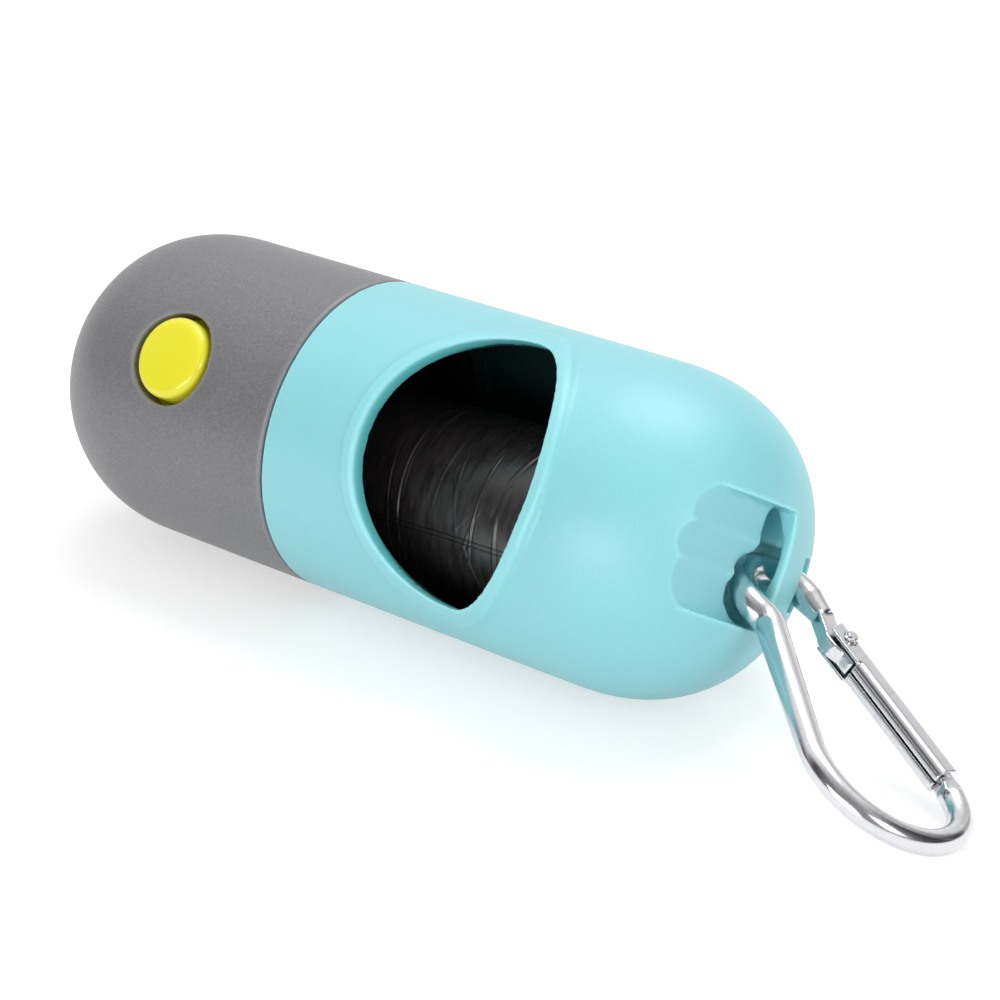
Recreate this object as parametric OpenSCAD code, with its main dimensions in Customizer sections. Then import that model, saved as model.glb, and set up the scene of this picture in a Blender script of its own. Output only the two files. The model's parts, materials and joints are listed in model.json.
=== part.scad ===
// Pocket dispenser for rolls of dog bags, with a torch in its other half.
// The capsule lies on its side: its axis runs along X, the torch at -X, the clip at +X.
// Millimetres, +Z up, origin under the middle of the whole object on the surface it lies on.

/* [Capsule] */
// Radius of the capsule
body_r = 22.5; // [21.5:0.25:25]
// How far a fresh roll reaches into the bag half's dome
dome_reach = 10.25; // [6:0.25:10.5]
// Height of the bag half's dome
bag_dome = 23; // [21:0.5:26]
// Straight length of the torch half, from the seam to its dome
torch_len = 27.95; // [27:0.25:40]
// Height of the torch half's dome
torch_dome = 21.9; // [20.5:0.1:24]
// Roundness of the bag half's dome, 2 is an ellipse
bag_round = 2.31; // [2:0.01:2.6]
// Roundness of the torch half's dome, 2 is an ellipse
torch_round = 2.16; // [2:0.01:2.5]
// Wall thickness of both shells
wall = 2.2; // [1.8:0.1:2.6]
// Gap at the seam between the halves
seam_gap = 0.2; // [0.1:0.05:0.4]

/* [Window] */
// Direction of the window round the axis, up from the side
side_angle = 31.6; // [20:0.2:45]
// Widest place of the window, from the seam
window_x = 32.5; // [29:0.5:38]
// Reach of the window from there towards the seam
window_left = 16.6; // [12:0.2:18]
// Reach of the window from there towards the dome
window_right = 11.5; // [8:0.2:13]
// Half height of the window
window_half = 18.2; // [12:0.2:18.6]
// Width of the raised lip
lip_w = 2.1; // [1.2:0.1:2.6]
// Height of the raised lip
lip_h = 0.75; // [0.3:0.05:1.2]

/* [End pocket] */
// Half width of the pocket
pocket_half = 8; // [7.4:0.1:9]
// Depth of the trench under the bar, below the dome's tip
trench_depth = 8.5; // [8.2:0.1:9]
// Thickness of the bar at the tip
bar_t = 2.5; // [1.8:0.1:2.8]
// Width of the bar across the tip
bar_w = 6.3; // [4:0.1:6.4]
// Depth of the three scallops in the pocket's floor
scallop_depth = 0.7; // [0.3:0.1:1.2]

/* [Screw joint] */
// Length of the torch's threaded neck
neck_len = 5.1; // [4.6:0.1:7]
// Wall of the neck
neck_wall = 1.6; // [1.2:0.1:2.2]
// Pitch of the thread
thread_pitch = 3; // [2.6:0.1:4]
// Height of a thread ridge
thread_h = 0.75; // [0.6:0.05:0.85]
// Radial gap between a ridge's crest and the wall opposite
thread_gap = 0.35; // [0.25:0.05:0.5]

/* [Bag roll] */
// Diameter of a fresh roll
roll_d = 27.8; // [22:0.2:28.4]
// Length of the roll
roll_len = 50.2; // [45:0.2:60]
// Outer diameter of the card core
core_d = 14.4; // [11:0.2:18]
// Wall of the card core
core_wall = 1.2; // [0.8:0.1:2]

/* [Button] */
// Diameter of the push button
button_d = 11.8; // [9:0.1:13.2]
// Distance of the button from the seam
button_x = 20.1; // [17:0.1:24]
// Direction of the button round the axis, up from the side
button_angle = 35; // [20:0.5:50]
// How far the button stands out of the shell
button_out = 0.6; // [0.3:0.05:1.2]
// Travel of the button
button_travel = 1.2; // [0.8:0.05:1.5]

/* [Torch] */
// Diameter of the visible lens
lens_d = 17.8; // [13:0.1:18.4]
// Diameter of a button cell
cell_d = 11.6; // [9:0.1:11.8]
// Height of a button cell
cell_h = 5.4; // [3.2:0.1:5.5]

/* [Carabiner] */
// Radius of the small eye, to the middle of the rod
eye_r = 5.95; // [5.75:0.05:6.6]
// Rod diameter at the eye
eye_rod = 4.1; // [3.2:0.1:4.1]
// Rod diameter at the wide end
bow_rod = 3.4; // [2.8:0.1:3.6]
// Angle by which the spine spreads away from the gate
spread = 24.9; // [18:0.5:28]
// Straight length of the spine
spine_len = 21.4; // [18:0.2:26]
// Radius of the wide bow
bow_r = 11.2; // [10:0.1:13]
// Width of the folded gate
gate_w = 3.8; // [3.6:0.1:4.2]
// Depth of the folded gate
gate_depth = 3.7; // [3.5:0.1:4.2]
// Length of the folded gate
gate_len = 25.4; // [24.5:0.1:25.6]
// Thickness of the gate's sheet
sheet_t = 0.45; // [0.4:0.05:0.55]
// Droop of the carabiner from the capsule's axis
droop = 30.3; // [0:0.1:31]

/* [Hidden] */
$fn = 96;

// Overlap that makes a cut clean
eps = 0.5;
// Gap between two pieces that lie together without a fit
seat_gap = 0.05;
// Gap between loose pieces
loose_gap = 0.35;
// Radial clearance of turning fits
turn_gap = 0.05;

// Capsule
mouth_len = neck_len + 1.1;
roll_x = mouth_len + loose_gap;
bag_len = roll_x + roll_len - dome_reach;
tip_x = bag_len + bag_dome;
cavity_r = body_r - wall;
cavity_dome = bag_dome - wall - 0.1;
lip_side = body_r + lip_h;

// Trench, bar and pocket, as places along X and outwards from the axis
trench_x = tip_x - trench_depth;
cavity_end = trench_x - 1.8;
bar_inner_x = tip_x - bar_t;
bar_near = -0.7;
bar_far = bar_near - bar_w;
bar_round = 1.5;
// The bar's underside is arched: thin in the middle and thick towards the pocket's upper corner
arch_t = 1.5;
arch_middle = 0.8;
arch_r = 10.6;
pocket_lip = [tip_x - 3.2, 2];
pocket_edge = [tip_x - 5.7, 17.3];
pocket_len = 28;
trench_near = 1.4;
bowl_r = 5;
bowl_place = [-3.1, -0.5];
beyond_x = tip_x + 6;
far_wall = bar_far - 5.4;
far_half_low = 4.3;
far_half_high = 3.1;
// Scallops, as [middle, half width] in half widths of the pocket, and share of the full depth
scallops = [[-0.625, 0.375, 0.65], [0.05, 0.3, 0.9], [0.675, 0.325, 0.7]];

// Screw joint
mouth_r = body_r - 2.8;
neck_r = mouth_r - thread_h - thread_gap;
base_t = 3;
base_r = cavity_r + 0.1 - turn_gap;
torch_bore = cavity_r + 0.1;
ring_x = seam_gap / 2 + 0.65;
ring_minor = (mouth_r - neck_r) / 2 - 0.08;
ridge_base = 1.3;
ridge_crest = 0.7;
ridge_sink = 0.25;
neck_ridge_x = ring_x + ring_minor + ridge_base / 2 + 0.1;
neck_ridge_turn = (neck_len - neck_ridge_x - ridge_base / 2) / thread_pitch * 360;
mouth_ridge_start = 180;
mouth_ridge_turn = 350;

// Bag roll
roll_r = roll_d / 2;
roll_drop = cavity_r - roll_r - loose_gap;
roll_edge = 0.6;
roll_far = (dome_reach + roll_edge) / cavity_dome;
roll_far_r = cavity_r * pow(1 - pow(max(roll_far, 0), bag_round), 1 / bag_round);
// The roll rests on the barrel at one end and on the dome at the other
roll_tilt = asin((cavity_r - roll_far_r) / roll_len);
core_r = core_d / 2;

// Button and switch, as heights outwards from the axis
button_r = button_d / 2;
button_top = body_r + button_out;
button_gap = 0.8;
collar_wall = 1.7;
collar_in = cavity_r - 2.4;
flange_t = 1;
flange_r = button_r + button_gap + 0.9;
button_round = 0.9;
stem_r = 2;
button_hollow = 1.6;
switch_side = 8;
switch_h = 3.4;
plunger_r = 1.5;
plunger_in = 1.2;
plunger_out = button_travel + 0.3;
board_t = 1.2;
holder_bore = cell_d / 2 + 0.2;
holder_r = holder_bore + 1.1;
board_seat = holder_r + 0.7;
// The switch sits on its board, and the button's stem reaches in to it
switch_low = board_seat + board_t + seat_gap;
switch_top = switch_low + switch_h;
stem_in = switch_top + plunger_out + seat_gap;
switch_board_size = [16, 12];

// Leads
lead_d = 1;
lead_b = 3.2;
lead_out = board_seat + board_t + 0.8;
lead_low = lead_out - 1.6;

// Torch, as places along -X from the seam
lens_r = lens_d / 2;
lens_lip = 1.5;
lens_seat_r = lens_r + 0.1;
lens_flange_r = lens_r + lens_lip;
lens_out = torch_len + torch_dome - 0.25;
lens_cap = 1.4;
lens_flange_x = torch_len + torch_dome - 3.65;
lens_flange_t = 1.2;
rim_x = lens_flange_x - lens_flange_t - seat_gap;
rim_t = 0.6;
led_board_x = rim_x - 4.3;
board_gap = 0.65;
led_rise = max(led_board_x - torch_len, 0) / (torch_dome - wall);
led_board_r = torch_bore * pow(1 - pow(led_rise, torch_round), 1 / torch_round) - board_gap;
board_notch_r = 1;
led_side = 5;
led_t = 0.8;
led_lens_r = 1.8;
holder_front = led_board_x - board_t;
holder_wall = 1.2;
holder_flange_t = 1.6;
holder_flange_in = 2;
plate_t = 0.3;
cell_x = holder_front - holder_wall - plate_t - seat_gap;
cell_step = cell_h + seat_gap;
cell_count = 3;
stack_end = cell_x - cell_count * cell_step;
post_x = base_t + seam_gap / 2 + 12.4;
holder_back = post_x + seat_gap;
post_r = holder_r;
post_wall = 1.5;
spring_wire = 0.5;
spring_turns = 5;
spring_r = 3.6;
screw_r = 1.1;
screw_head_r = 2;
screw_place_r = neck_r - neck_wall - screw_head_r - 0.4;
screw_head_t = 1.2;
screw_len = 8;
boss_r = 2.6;
boss_len = 11;
screw_angles = [95, 215, 335];

// Carabiner in its own plane: the gate side runs along p at q = eye_r, the spine lies at -q
kink = 46.9;
kink_r = 3.2;
bow_turn = 110 + spread;
nose_r = 8;
nose_turn = 59;
lean = 16.4;
yaw = -2.7;
// Unit vectors of the carabiner's plane, in the frame of the side that the pocket is on
vec_p = [cos(yaw) * cos(-droop), cos(yaw) * sin(-droop), -sin(yaw)];
vec_q = [-cos(lean) * sin(yaw) * cos(-droop) - sin(lean) * sin(-droop),
         -cos(lean) * sin(yaw) * sin(-droop) + sin(lean) * cos(-droop),
         -cos(lean) * cos(yaw)];
reach_x = norm([vec_p[0], vec_q[0]]);
eye_clear = 0.35;
pivot_x = trench_x + eye_clear + eye_rod / 2;
pivot_b = -0.6;
pivot_out = -2.8;
eye_dir = [vec_p[0], vec_q[0]] / reach_x;
eye_centre = [pivot_x, pivot_b, pivot_out] + eye_r * (eye_dir[0] * vec_p + eye_dir[1] * vec_q);

// Each stretch of the rod is a little thinner than the one it grows out of, and starts inside it
step = 0.03;
step_in = 0.15;
function turn_back(radius) = step_in / radius * 180 / PI;

// Places along the carabiner's rod, each as [p, q], with the heading at each
function left_of(h) = [-sin(h), cos(h)];
kink_start = [0, 0] + eye_r * [cos(90 + 180 - spread + kink), sin(90 + 180 - spread + kink)];
kink_head = 360 - spread + kink;
kink_centre = kink_start - kink_r * left_of(kink_head);
spine_start = kink_centre + kink_r * left_of(-spread);
spine_dir = [cos(spread), -sin(spread)];
spine_end = spine_start + spine_len * spine_dir;
bow_centre = spine_end + bow_r * left_of(-spread);
bow_end = bow_centre - bow_r * left_of(bow_turn - spread);
nose_centre = bow_end + nose_r * left_of(bow_turn - spread);
nose_end = nose_centre - nose_r * left_of(bow_turn - spread + nose_turn);

tang_t = 2.2;
leg_rod = 3;
rivet_p = 8.6;
rivet_q = eye_r - 0.65;
rivet_r = 0.6;
rivet_head_r = 1.25;
rivet_head_t = 0.6;
tang_start_p = 3;
tang_end_p = 12.2;
gate_back_p = rivet_p - 2.8;
gate_front_p = gate_back_p + gate_len;
gate_top = rivet_q + 1.55;
gate_low = gate_top - gate_depth;
gate_fold = 1.1;
gate_lip_gap = 0.3;
gate_slant = 1.3;
// The tang turns under the web, so its end is round and as high as the web allows
tang_r = gate_top - rivet_q - sheet_t - 0.15;
// Widest opening of the gate
gate_open = 25;
tang_low = gate_low - 0.1;
tang_belly = tang_low - 0.6;
rivet_end = [rivet_p, rivet_q] + tang_r * [sin(gate_open), cos(gate_open)];
nose_tang_p = gate_front_p - 1.8;
nose_slot_gap = 0.3;
nose_low = gate_low + sheet_t + 0.2;
gate_spring_r = 0.55;
gate_spring_wire = 0.22;
gate_spring_turns = 12;
gate_spring_p = tang_end_p + 1.3;
gate_lip_p = tang_end_p + 0.4;
gate_spring_len = 8;

// Where the whole object lies
function to_y(v) = v[1] * sin(side_angle) - v[2] * cos(side_angle);
function to_z(v) = v[1] * cos(side_angle) + v[2] * sin(side_angle);
bow_place = eye_centre + bow_centre[0] * vec_p + bow_centre[1] * vec_q;
x_low = -lens_out;
x_high = bow_place[0] + reach_x * bow_r + bow_rod / 2;
y_low = to_y(bow_place) - norm([to_y(vec_p), to_y(vec_q)]) * bow_r - bow_rod / 2;
z_low = to_z(bow_place) - norm([to_z(vec_p), to_z(vec_q)]) * bow_r - bow_rod / 2;
x_shift = -(x_low + x_high) / 2;
y_shift = -(min(y_low, -lip_side) + body_r) / 2;
z_shift = -min(z_low, -body_r);

// Frames

// Moves the capsule's own frame, on its axis at the seam, to where the object lies
module lying() translate([x_shift, y_shift, z_shift]) children();

// Turns a profile of [radius, place along X] round the capsule's axis
module turned() rotate([0, 90, 0]) rotate_extrude() children();

// The same for the torch half, whose places run towards -X
module turned_back() rotate([0, -90, 0]) rotate_extrude() children();

// Side of the capsule at an angle: X stays, Y runs round it upwards and Z points outwards
module side(angle) rotate([90 - angle, 0, 0]) children();

// Frame of the carabiner: X is p, Y is q, Z is square to its plane
module clip_frame() side(side_angle) translate(eye_centre) rotate([lean - 90, yaw, -droop]) children();

// Shapes

dome_steps = 24;
function dome_points(radius, start, height, round) =
    [for (i = [0:dome_steps])
        let (t = 90 * i / dome_steps)
        [radius * pow(cos(t), 2 / round), start + height * pow(sin(t), 2 / round)]];

// Solid half capsule from a start on the axis to the dome's tip
module half_profile(radius, from, start, height, round)
    polygon(concat([[0, from], [radius, from]], dome_points(radius, start, height, round)));

window_steps = 20;
function window_points(grow) =
    concat(
        [for (i = [0:window_steps - 1])
            let (t = 180 * i / window_steps)
            [window_x + (window_right + grow) * pow(sin(t), 2 / 1.86),
             (window_half + grow) * sign(90 - t) * pow(abs(cos(t)), 2 / 1.86)]],
        [for (i = [0:window_steps - 1])
            let (t = 180 * i / window_steps)
            [window_x - (window_left + grow) * pow(sin(t), 2 / 2.15),
             -(window_half + grow) * sign(90 - t) * pow(abs(cos(t)), 2 / 2.15)]]);

// A tube swept along points, with rings square to Z for a coil whose axis is Z
function ring_points(centre, out_dir, up_dir, radius, sides) =
    [for (k = [0:sides - 1])
        centre + radius * cos(360 * k / sides) * out_dir + radius * sin(360 * k / sides) * up_dir];

function sweep_faces(rings, sides) =
    concat(
        [[for (k = [sides - 1:-1:0]) k]],
        [for (i = [0:rings - 2]) for (k = [0:sides - 1]) for (half = [0:1])
            let (a = i * sides + k, b = i * sides + (k + 1) % sides, c = a + sides, d = b + sides)
            half == 0 ? [a, b, c] : [b, d, c]],
        [[for (k = [0:sides - 1]) (rings - 1) * sides + k]]);

// Coil round Z, from z = 0 to z = height
module coil(radius, height, wire, turns, per_turn, sides) {
    count = turns * per_turn + 1;
    points = [for (i = [0:count - 1])
        let (a = 360 * i / per_turn)
        for (p = ring_points(
            [radius * cos(a), radius * sin(a), height * i / (count - 1)],
            [cos(a), sin(a), 0], [0, 0, 1], wire / 2, sides)) p];
    polyhedron(points, sweep_faces(count, sides), convexity = 10);
}

// Thread ridge round Z on a wall of the given radius, out = 1 outwards and -1 inwards
module ridge(radius, out, start_z, start_turn, turn) {
    per_turn = 30;
    count = ceil(turn / 360 * per_turn) + 1;
    points = [for (i = [0:count - 1])
        let (a = turn * i / (count - 1),
             z = start_z + thread_pitch * a / 360,
             fade = min(1, 0.25 + min(i, count - 1 - i) / 3),
             root = radius - out * ridge_sink,
             crest = radius + out * thread_h * fade,
             d = [cos(a + start_turn), sin(a + start_turn), 0])
        for (p = [root * d + [0, 0, z - out * ridge_base / 2],
                  crest * d + [0, 0, z - out * ridge_crest / 2],
                  crest * d + [0, 0, z + out * ridge_crest / 2],
                  root * d + [0, 0, z + out * ridge_base / 2]]) p];
    polyhedron(points, sweep_faces(count, 4), convexity = 6);
}

// Short lead swept along its own points
module lead(route, wire) {
    sides = 8;
    last = len(route) - 1;
    points = [for (i = [0:last])
        let (along = route[min(i + 1, last)] - route[max(i - 1, 0)],
             d = along / norm(along),
             side_raw = cross(d, [0.1, 0.2, 1]),
             out_dir = side_raw / norm(side_raw),
             up_dir = cross(out_dir, d))
        for (p = ring_points(route[i], out_dir, up_dir, wire / 2, sides)) p];
    polyhedron(points, sweep_faces(last + 1, sides), convexity = 4);
}

// Bag half

// Bar across the tip, cut out of the profiles below
module bar_section() {
    translate([bar_inner_x, bar_far + bar_round]) square([pocket_len, bar_w - 2 * bar_round]);
    translate([bar_inner_x + bar_round, bar_far]) square([pocket_len, bar_w]);
    for (r = [bar_far + bar_round, bar_near - bar_round])
        translate([bar_inner_x + bar_round, r]) circle(r = bar_round);
}

// Carries a profile of [place along X, place outwards] across the pocket
module across(low, high) translate([0, high, 0]) rotate([90, 0, 0]) linear_extrude(low + high) children();

module arch() translate([tip_x - arch_t - arch_r, arch_middle]) circle(r = arch_r);

// Goes through the bar from its near to its far edge
module along_bar() translate([0, 0, bar_far]) linear_extrude(bar_w) children();

module bar_corner() along_bar() difference() {
    translate([bar_inner_x - 3, arch_middle]) square([3.3, pocket_half + 1]);
    arch();
}

module scallop(middle, half, depth) {
    r = (pow(half, 2) + pow(depth, 2)) / (2 * depth);
    translate([r - depth, middle]) circle(r = r);
}

module pocket_cuts() {
    floor_dir = pocket_edge - pocket_lip;
    floor_tilt = atan2(floor_dir[0], floor_dir[1]);
    middle = (bar_near + bar_far) / 2;
    // Trench and bowl that the eye of the carabiner turns in
    difference() {
        translate([trench_x, 0, 0]) rotate([90, 0, 90]) linear_extrude(beyond_x - trench_x)
            intersection() {
                union() {
                    translate([-pocket_half, middle]) square([2 * pocket_half, trench_near - middle]);
                    translate(bowl_place) circle(r = bowl_r);
                }
                translate([-pocket_half, middle]) square([2 * pocket_half, body_r]);
            }
        across(2 * pocket_half, 2 * pocket_half) bar_section();
    }
    across(far_half_low, far_half_high) difference() {
        polygon([[trench_x, middle + 0.7], [trench_x, bar_far - 1], [trench_x + 4.5, far_wall],
                 [beyond_x, far_wall - 0.4], [beyond_x, middle + 0.7]]);
        bar_section();
    }
    along_bar() intersection() {
        arch();
        translate([bar_inner_x - 0.5, -pocket_half]) square([bar_t, 2 * pocket_half]);
    }
    // Floor of three scallops
    translate([pocket_lip[0], 0, pocket_lip[1]])
        rotate([0, floor_tilt, 0])
        translate([0, 0, bar_near - pocket_lip[1]])
        linear_extrude(pocket_len)
        intersection() {
            union() {
                for (own = scallops) scallop(own[0] * pocket_half, own[1] * pocket_half, own[2] * scallop_depth);
                translate([scallop_depth / 8, -pocket_half]) square([pocket_len, 2 * pocket_half]);
            }
            translate([-scallop_depth - eps, -pocket_half]) square([pocket_len, 2 * pocket_half]);
        }
}

module bag_housing() color([0.58, 0.85, 0.88]) lying() {
    difference() {
        union() {
            turned() half_profile(body_r, seam_gap / 2, bag_len, bag_dome, bag_round);
            intersection() {
                side(side_angle) linear_extrude(2 * body_r) polygon(window_points(lip_w));
                turned() half_profile(lip_side, seam_gap / 2, bag_len, bag_dome, bag_round);
            }
        }
        turned() intersection() {
            half_profile(cavity_r, mouth_len, bag_len, cavity_dome, bag_round);
            square([body_r, cavity_end]);
        }
        rotate([0, 90, 0]) cylinder(r = mouth_r, h = mouth_len + eps);
        side(side_angle) linear_extrude(2 * body_r) polygon(window_points(0));
        side(side_angle) difference() {
            pocket_cuts();
            bar_corner();
        }
    }
    rotate([0, 90, 0])
        ridge(mouth_r, -1, neck_ridge_x - thread_pitch / 2 + thread_pitch * mouth_ridge_start / 360,
              mouth_ridge_start, mouth_ridge_turn);
}

module roll_place() translate([roll_x, 0, -roll_drop]) rotate([0, 90 - roll_tilt, 0]) children();

module bag_roll() color([0.13, 0.13, 0.14]) lying() roll_place() difference() {
    cylinder(r = roll_r, h = roll_len);
    translate([0, 0, -eps]) cylinder(r = core_r + seat_gap, h = roll_len + 2 * eps);
}

module roll_core() color([0.66, 0.53, 0.38]) lying() roll_place() difference() {
    cylinder(r = core_r, h = roll_len);
    translate([0, 0, -eps]) cylinder(r = core_r - core_wall, h = roll_len + 2 * eps);
}

// Torch half

module button_place() translate([-button_x, 0, 0]) side(button_angle) children();

module torch_shell() color([0.50, 0.50, 0.52]) lying() difference() {
    union() {
        difference() {
            turned_back() half_profile(body_r, seam_gap / 2, torch_len, torch_dome, torch_round);
            turned_back() half_profile(torch_bore, 0, torch_len, torch_dome - wall, torch_round);
        }
        intersection() {
            turned_back() half_profile(body_r - 0.1, 1, torch_len, torch_dome - 0.1, torch_round);
            union() {
                button_place()
                    translate([0, 0, collar_in])
                    cylinder(r = button_r + button_gap + collar_wall, h = body_r);
                for (a = screw_angles) side(a) translate([-base_t - seam_gap / 2 - boss_len, 0, 0]) {
                    translate([0, 0, screw_place_r]) rotate([0, 90, 0]) cylinder(r = boss_r, h = boss_len);
                    translate([0, -0.8, screw_place_r]) cube([boss_len, 1.6, body_r - screw_place_r]);
                }
                rotate([0, -90, 0])
                    translate([0, 0, lens_flange_x])
                    cylinder(r = lens_flange_r + 1.5, h = torch_dome);
            }
        }
    }
    rotate([0, -90, 0]) cylinder(r = lens_seat_r, h = lens_out + 10);
    translate([-lens_flange_x, 0, 0])
        rotate([0, 90, 0])
        cylinder(r = lens_flange_r + 0.1, h = lens_flange_t + rim_t + 1);
    button_place() cylinder(r = button_r + button_gap, h = 2 * body_r);
    for (a = screw_angles) side(a)
        translate([-base_t - seam_gap / 2 - screw_len + screw_head_t, 0, screw_place_r])
        rotate([0, 90, 0])
        cylinder(r = screw_r, h = screw_len);
}

module torch_base() color([0.12, 0.12, 0.13]) lying() {
    back = base_t + seam_gap / 2;
    difference() {
        union() {
            translate([-back, 0, 0]) rotate([0, 90, 0]) cylinder(r = base_r, h = base_t);
            translate([-back, 0, 0]) rotate([0, 90, 0]) cylinder(r = neck_r, h = back + neck_len);
            translate([-post_x, 0, 0]) rotate([0, 90, 0]) cylinder(r = post_r, h = post_x - back + eps);
        }
        translate([-seam_gap / 2 - base_t / 2 + 0.3, 0, 0])
            rotate([0, 90, 0])
            cylinder(r = neck_r - neck_wall, h = neck_len + base_t);
        translate([-post_x - eps, 0, 0])
            rotate([0, 90, 0])
            cylinder(r = post_r - post_wall, h = post_x - back + eps);
        for (a = screw_angles) side(a)
            translate([-back - eps, 0, screw_place_r])
            rotate([0, 90, 0])
            cylinder(r = screw_r + 0.15, h = base_t + 2);
    }
    rotate([0, 90, 0]) ridge(neck_r, 1, neck_ridge_x, 0, neck_ridge_turn);
    translate([-post_x, 0, 0]) rotate([0, 90, 0]) cylinder(r = spring_r + 1, h = 0.6);
    translate([-post_x, -post_r + 1, -0.5]) cube([1.2, 2 * post_r - 2, 1]);
}

module base_screws() color("silver") lying()
    for (a = screw_angles) side(a)
        translate([-seam_gap / 2 - base_t / 2 + 0.3 + seat_gap, 0, screw_place_r])
        rotate([0, 90, 0]) {
            difference() {
                cylinder(r = screw_head_r, h = screw_head_t);
                for (turn = [0, 90])
                    rotate([0, 0, turn])
                    translate([-1.3, -0.25, screw_head_t - 0.5])
                    cube([2.6, 0.5, 1]);
            }
            translate([0, 0, -screw_len + 1.5]) cylinder(r = screw_r, h = screw_len - 1.4);
        }

module seal_ring() color([0.1, 0.1, 0.1]) lying()
    turned() translate([(mouth_r + neck_r) / 2, ring_x]) circle(r = ring_minor);

module push_button() color([0.96, 0.92, 0.26]) lying() button_place() {
    round_low = button_top - button_round;
    difference() {
        rotate_extrude() difference() {
            union() {
                translate([0, collar_in - flange_t - seat_gap]) square([flange_r, flange_t]);
                translate([0, collar_in - flange_t - seat_gap])
                    square([button_r, button_top - button_round - collar_in + flange_t + seat_gap]);
                translate([0, round_low]) square([button_r - button_round, button_round]);
                translate([button_r - button_round, round_low]) circle(r = button_round);
            }
            translate([-button_r, 0]) square([button_r, 2 * body_r]);
        }
        difference() {
            translate([0, 0, collar_in - flange_t - 1])
                cylinder(r = button_r - button_hollow, h = button_top - collar_in + flange_t - 0.8);
            cylinder(r = stem_r + 0.6, h = 2 * body_r);
        }
    }
    translate([0, 0, stem_in]) cylinder(r = stem_r, h = button_top - 2 * button_round - stem_in);
}

module switch_plunger() color("white") lying() button_place()
    translate([0, 0, switch_top - plunger_in]) cylinder(r = plunger_r, h = plunger_in + plunger_out);

module tact_switch() color([0.15, 0.15, 0.16]) lying() button_place() difference() {
    translate([-switch_side / 2, -switch_side / 2, switch_low])
        cube([switch_side, switch_side, switch_h]);
    translate([0, 0, switch_top - plunger_in - button_travel - loose_gap])
        cylinder(r = plunger_r + turn_gap, h = body_r);
}

module switch_board() color([0.10, 0.40, 0.22]) lying() button_place()
    translate([-switch_board_size[0] / 2, -switch_board_size[1] / 2, board_seat + seat_gap / 2])
    cube([switch_board_size[0], switch_board_size[1], board_t]);

module led_board() color([0.85, 0.86, 0.84]) lying() rotate([0, -90, 0])
    translate([0, 0, led_board_x - board_t]) difference() {
        cylinder(r = led_board_r, h = board_t);
        for (a = [0, 180])
            rotate([0, 0, a])
            translate([0, led_board_r - 1.5 * board_notch_r, -eps])
            cylinder(r = board_notch_r, h = board_t + 2 * eps);
    }

module led() color([0.95, 0.85, 0.35]) lying() rotate([0, -90, 0])
    translate([0, 0, led_board_x + seat_gap]) {
        translate([-led_side / 2, -led_side / 2, 0]) cube([led_side, led_side, led_t]);
        intersection() {
            translate([0, 0, led_t - 0.1]) sphere(r = led_lens_r);
            translate([-led_side / 2, -led_side / 2, 0.2]) cube(led_side);
        }
    }

module reflector() color("silver") lying() turned_back() {
    cup_small = 3.7;
    cup_big = lens_r - 0.6;
    polygon([[cup_small, led_board_x + seat_gap], [cup_small + 0.8, led_board_x + seat_gap],
             [cup_big + 0.8, rim_x - rim_t], [lens_flange_r, rim_x - rim_t],
             [lens_flange_r, rim_x], [cup_big, rim_x]]);
}

module torch_lens() color([0.9, 0.95, 1.0]) lying() turned_back() {
    cap_r = (pow(lens_r, 2) + pow(lens_cap, 2)) / (2 * lens_cap);
    intersection() {
        translate([0, lens_out - cap_r]) circle(r = cap_r);
        translate([0, lens_flange_x - 0.4]) square([lens_r, body_r]);
    }
    translate([0, lens_flange_x - lens_flange_t]) square([lens_flange_r, lens_flange_t - 0.02]);
}

module battery_holder() color([0.2, 0.2, 0.21]) lying() difference() {
    union() {
        rotate([0, -90, 0])
            translate([0, 0, holder_back])
            cylinder(r = holder_r, h = holder_front - holder_back - seat_gap);
        rotate([0, -90, 0])
            translate([0, 0, holder_front - holder_flange_t - seat_gap])
            cylinder(r = led_board_r - holder_flange_in, h = holder_flange_t);
        button_place()
            translate([-switch_board_size[0] / 2, -switch_side / 2, 0])
            cube([button_x - holder_back + switch_board_size[0] / 2, switch_side, board_seat]);
    }
    rotate([0, -90, 0]) cylinder(r = holder_bore, h = holder_front - holder_wall);
    for (b = [-lead_b, lead_b])
        button_place()
        translate([button_x - holder_front - eps, b, lead_low])
        rotate([0, 90, 0])
        cylinder(r = lead_d / 2 + 0.25, h = 4);
}

module button_cell(i) color([0.78, 0.78, 0.8]) lying() rotate([0, -90, 0])
    translate([0, 0, cell_x - i * cell_step]) mirror([0, 0, 1]) rotate_extrude() difference() {
        union() {
            square([cell_d / 2 - 0.3, cell_h]);
            translate([0, 0.3]) square([cell_d / 2, cell_h - 1.2]);
            translate([cell_d / 2 - 0.3, 0.3]) circle(r = 0.3);
        }
        translate([-cell_d, -eps]) square([cell_d, 2 * cell_h]);
    }

module contact_spring() color("gold") lying() rotate([0, -90, 0])
    translate([0, 0, post_x + seat_gap + spring_wire / 2])
    coil(spring_r, stack_end - post_x - spring_wire - seat_gap, spring_wire, spring_turns, 16, 6);

module contact_plate() color("gold") lying() rotate([0, -90, 0])
    translate([0, 0, cell_x + seat_gap / 2]) cylinder(r = holder_bore - 0.4, h = plate_t);

module torch_lead(b) button_place()
    lead([[-6, b, lead_out], [-7.5, b, lead_out + 0.6], [-9, b, lead_out + 0.4], [-10.5, b, lead_out - 1],
          [-12.5, b, lead_low], [-15, b, lead_low],
          [button_x - holder_front + seat_gap, b, lead_low]], lead_d);

module red_lead() color("firebrick") lying() torch_lead(lead_b);

module black_lead() color([0.08, 0.08, 0.08]) lying() torch_lead(-lead_b);

// Carabiner

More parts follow.
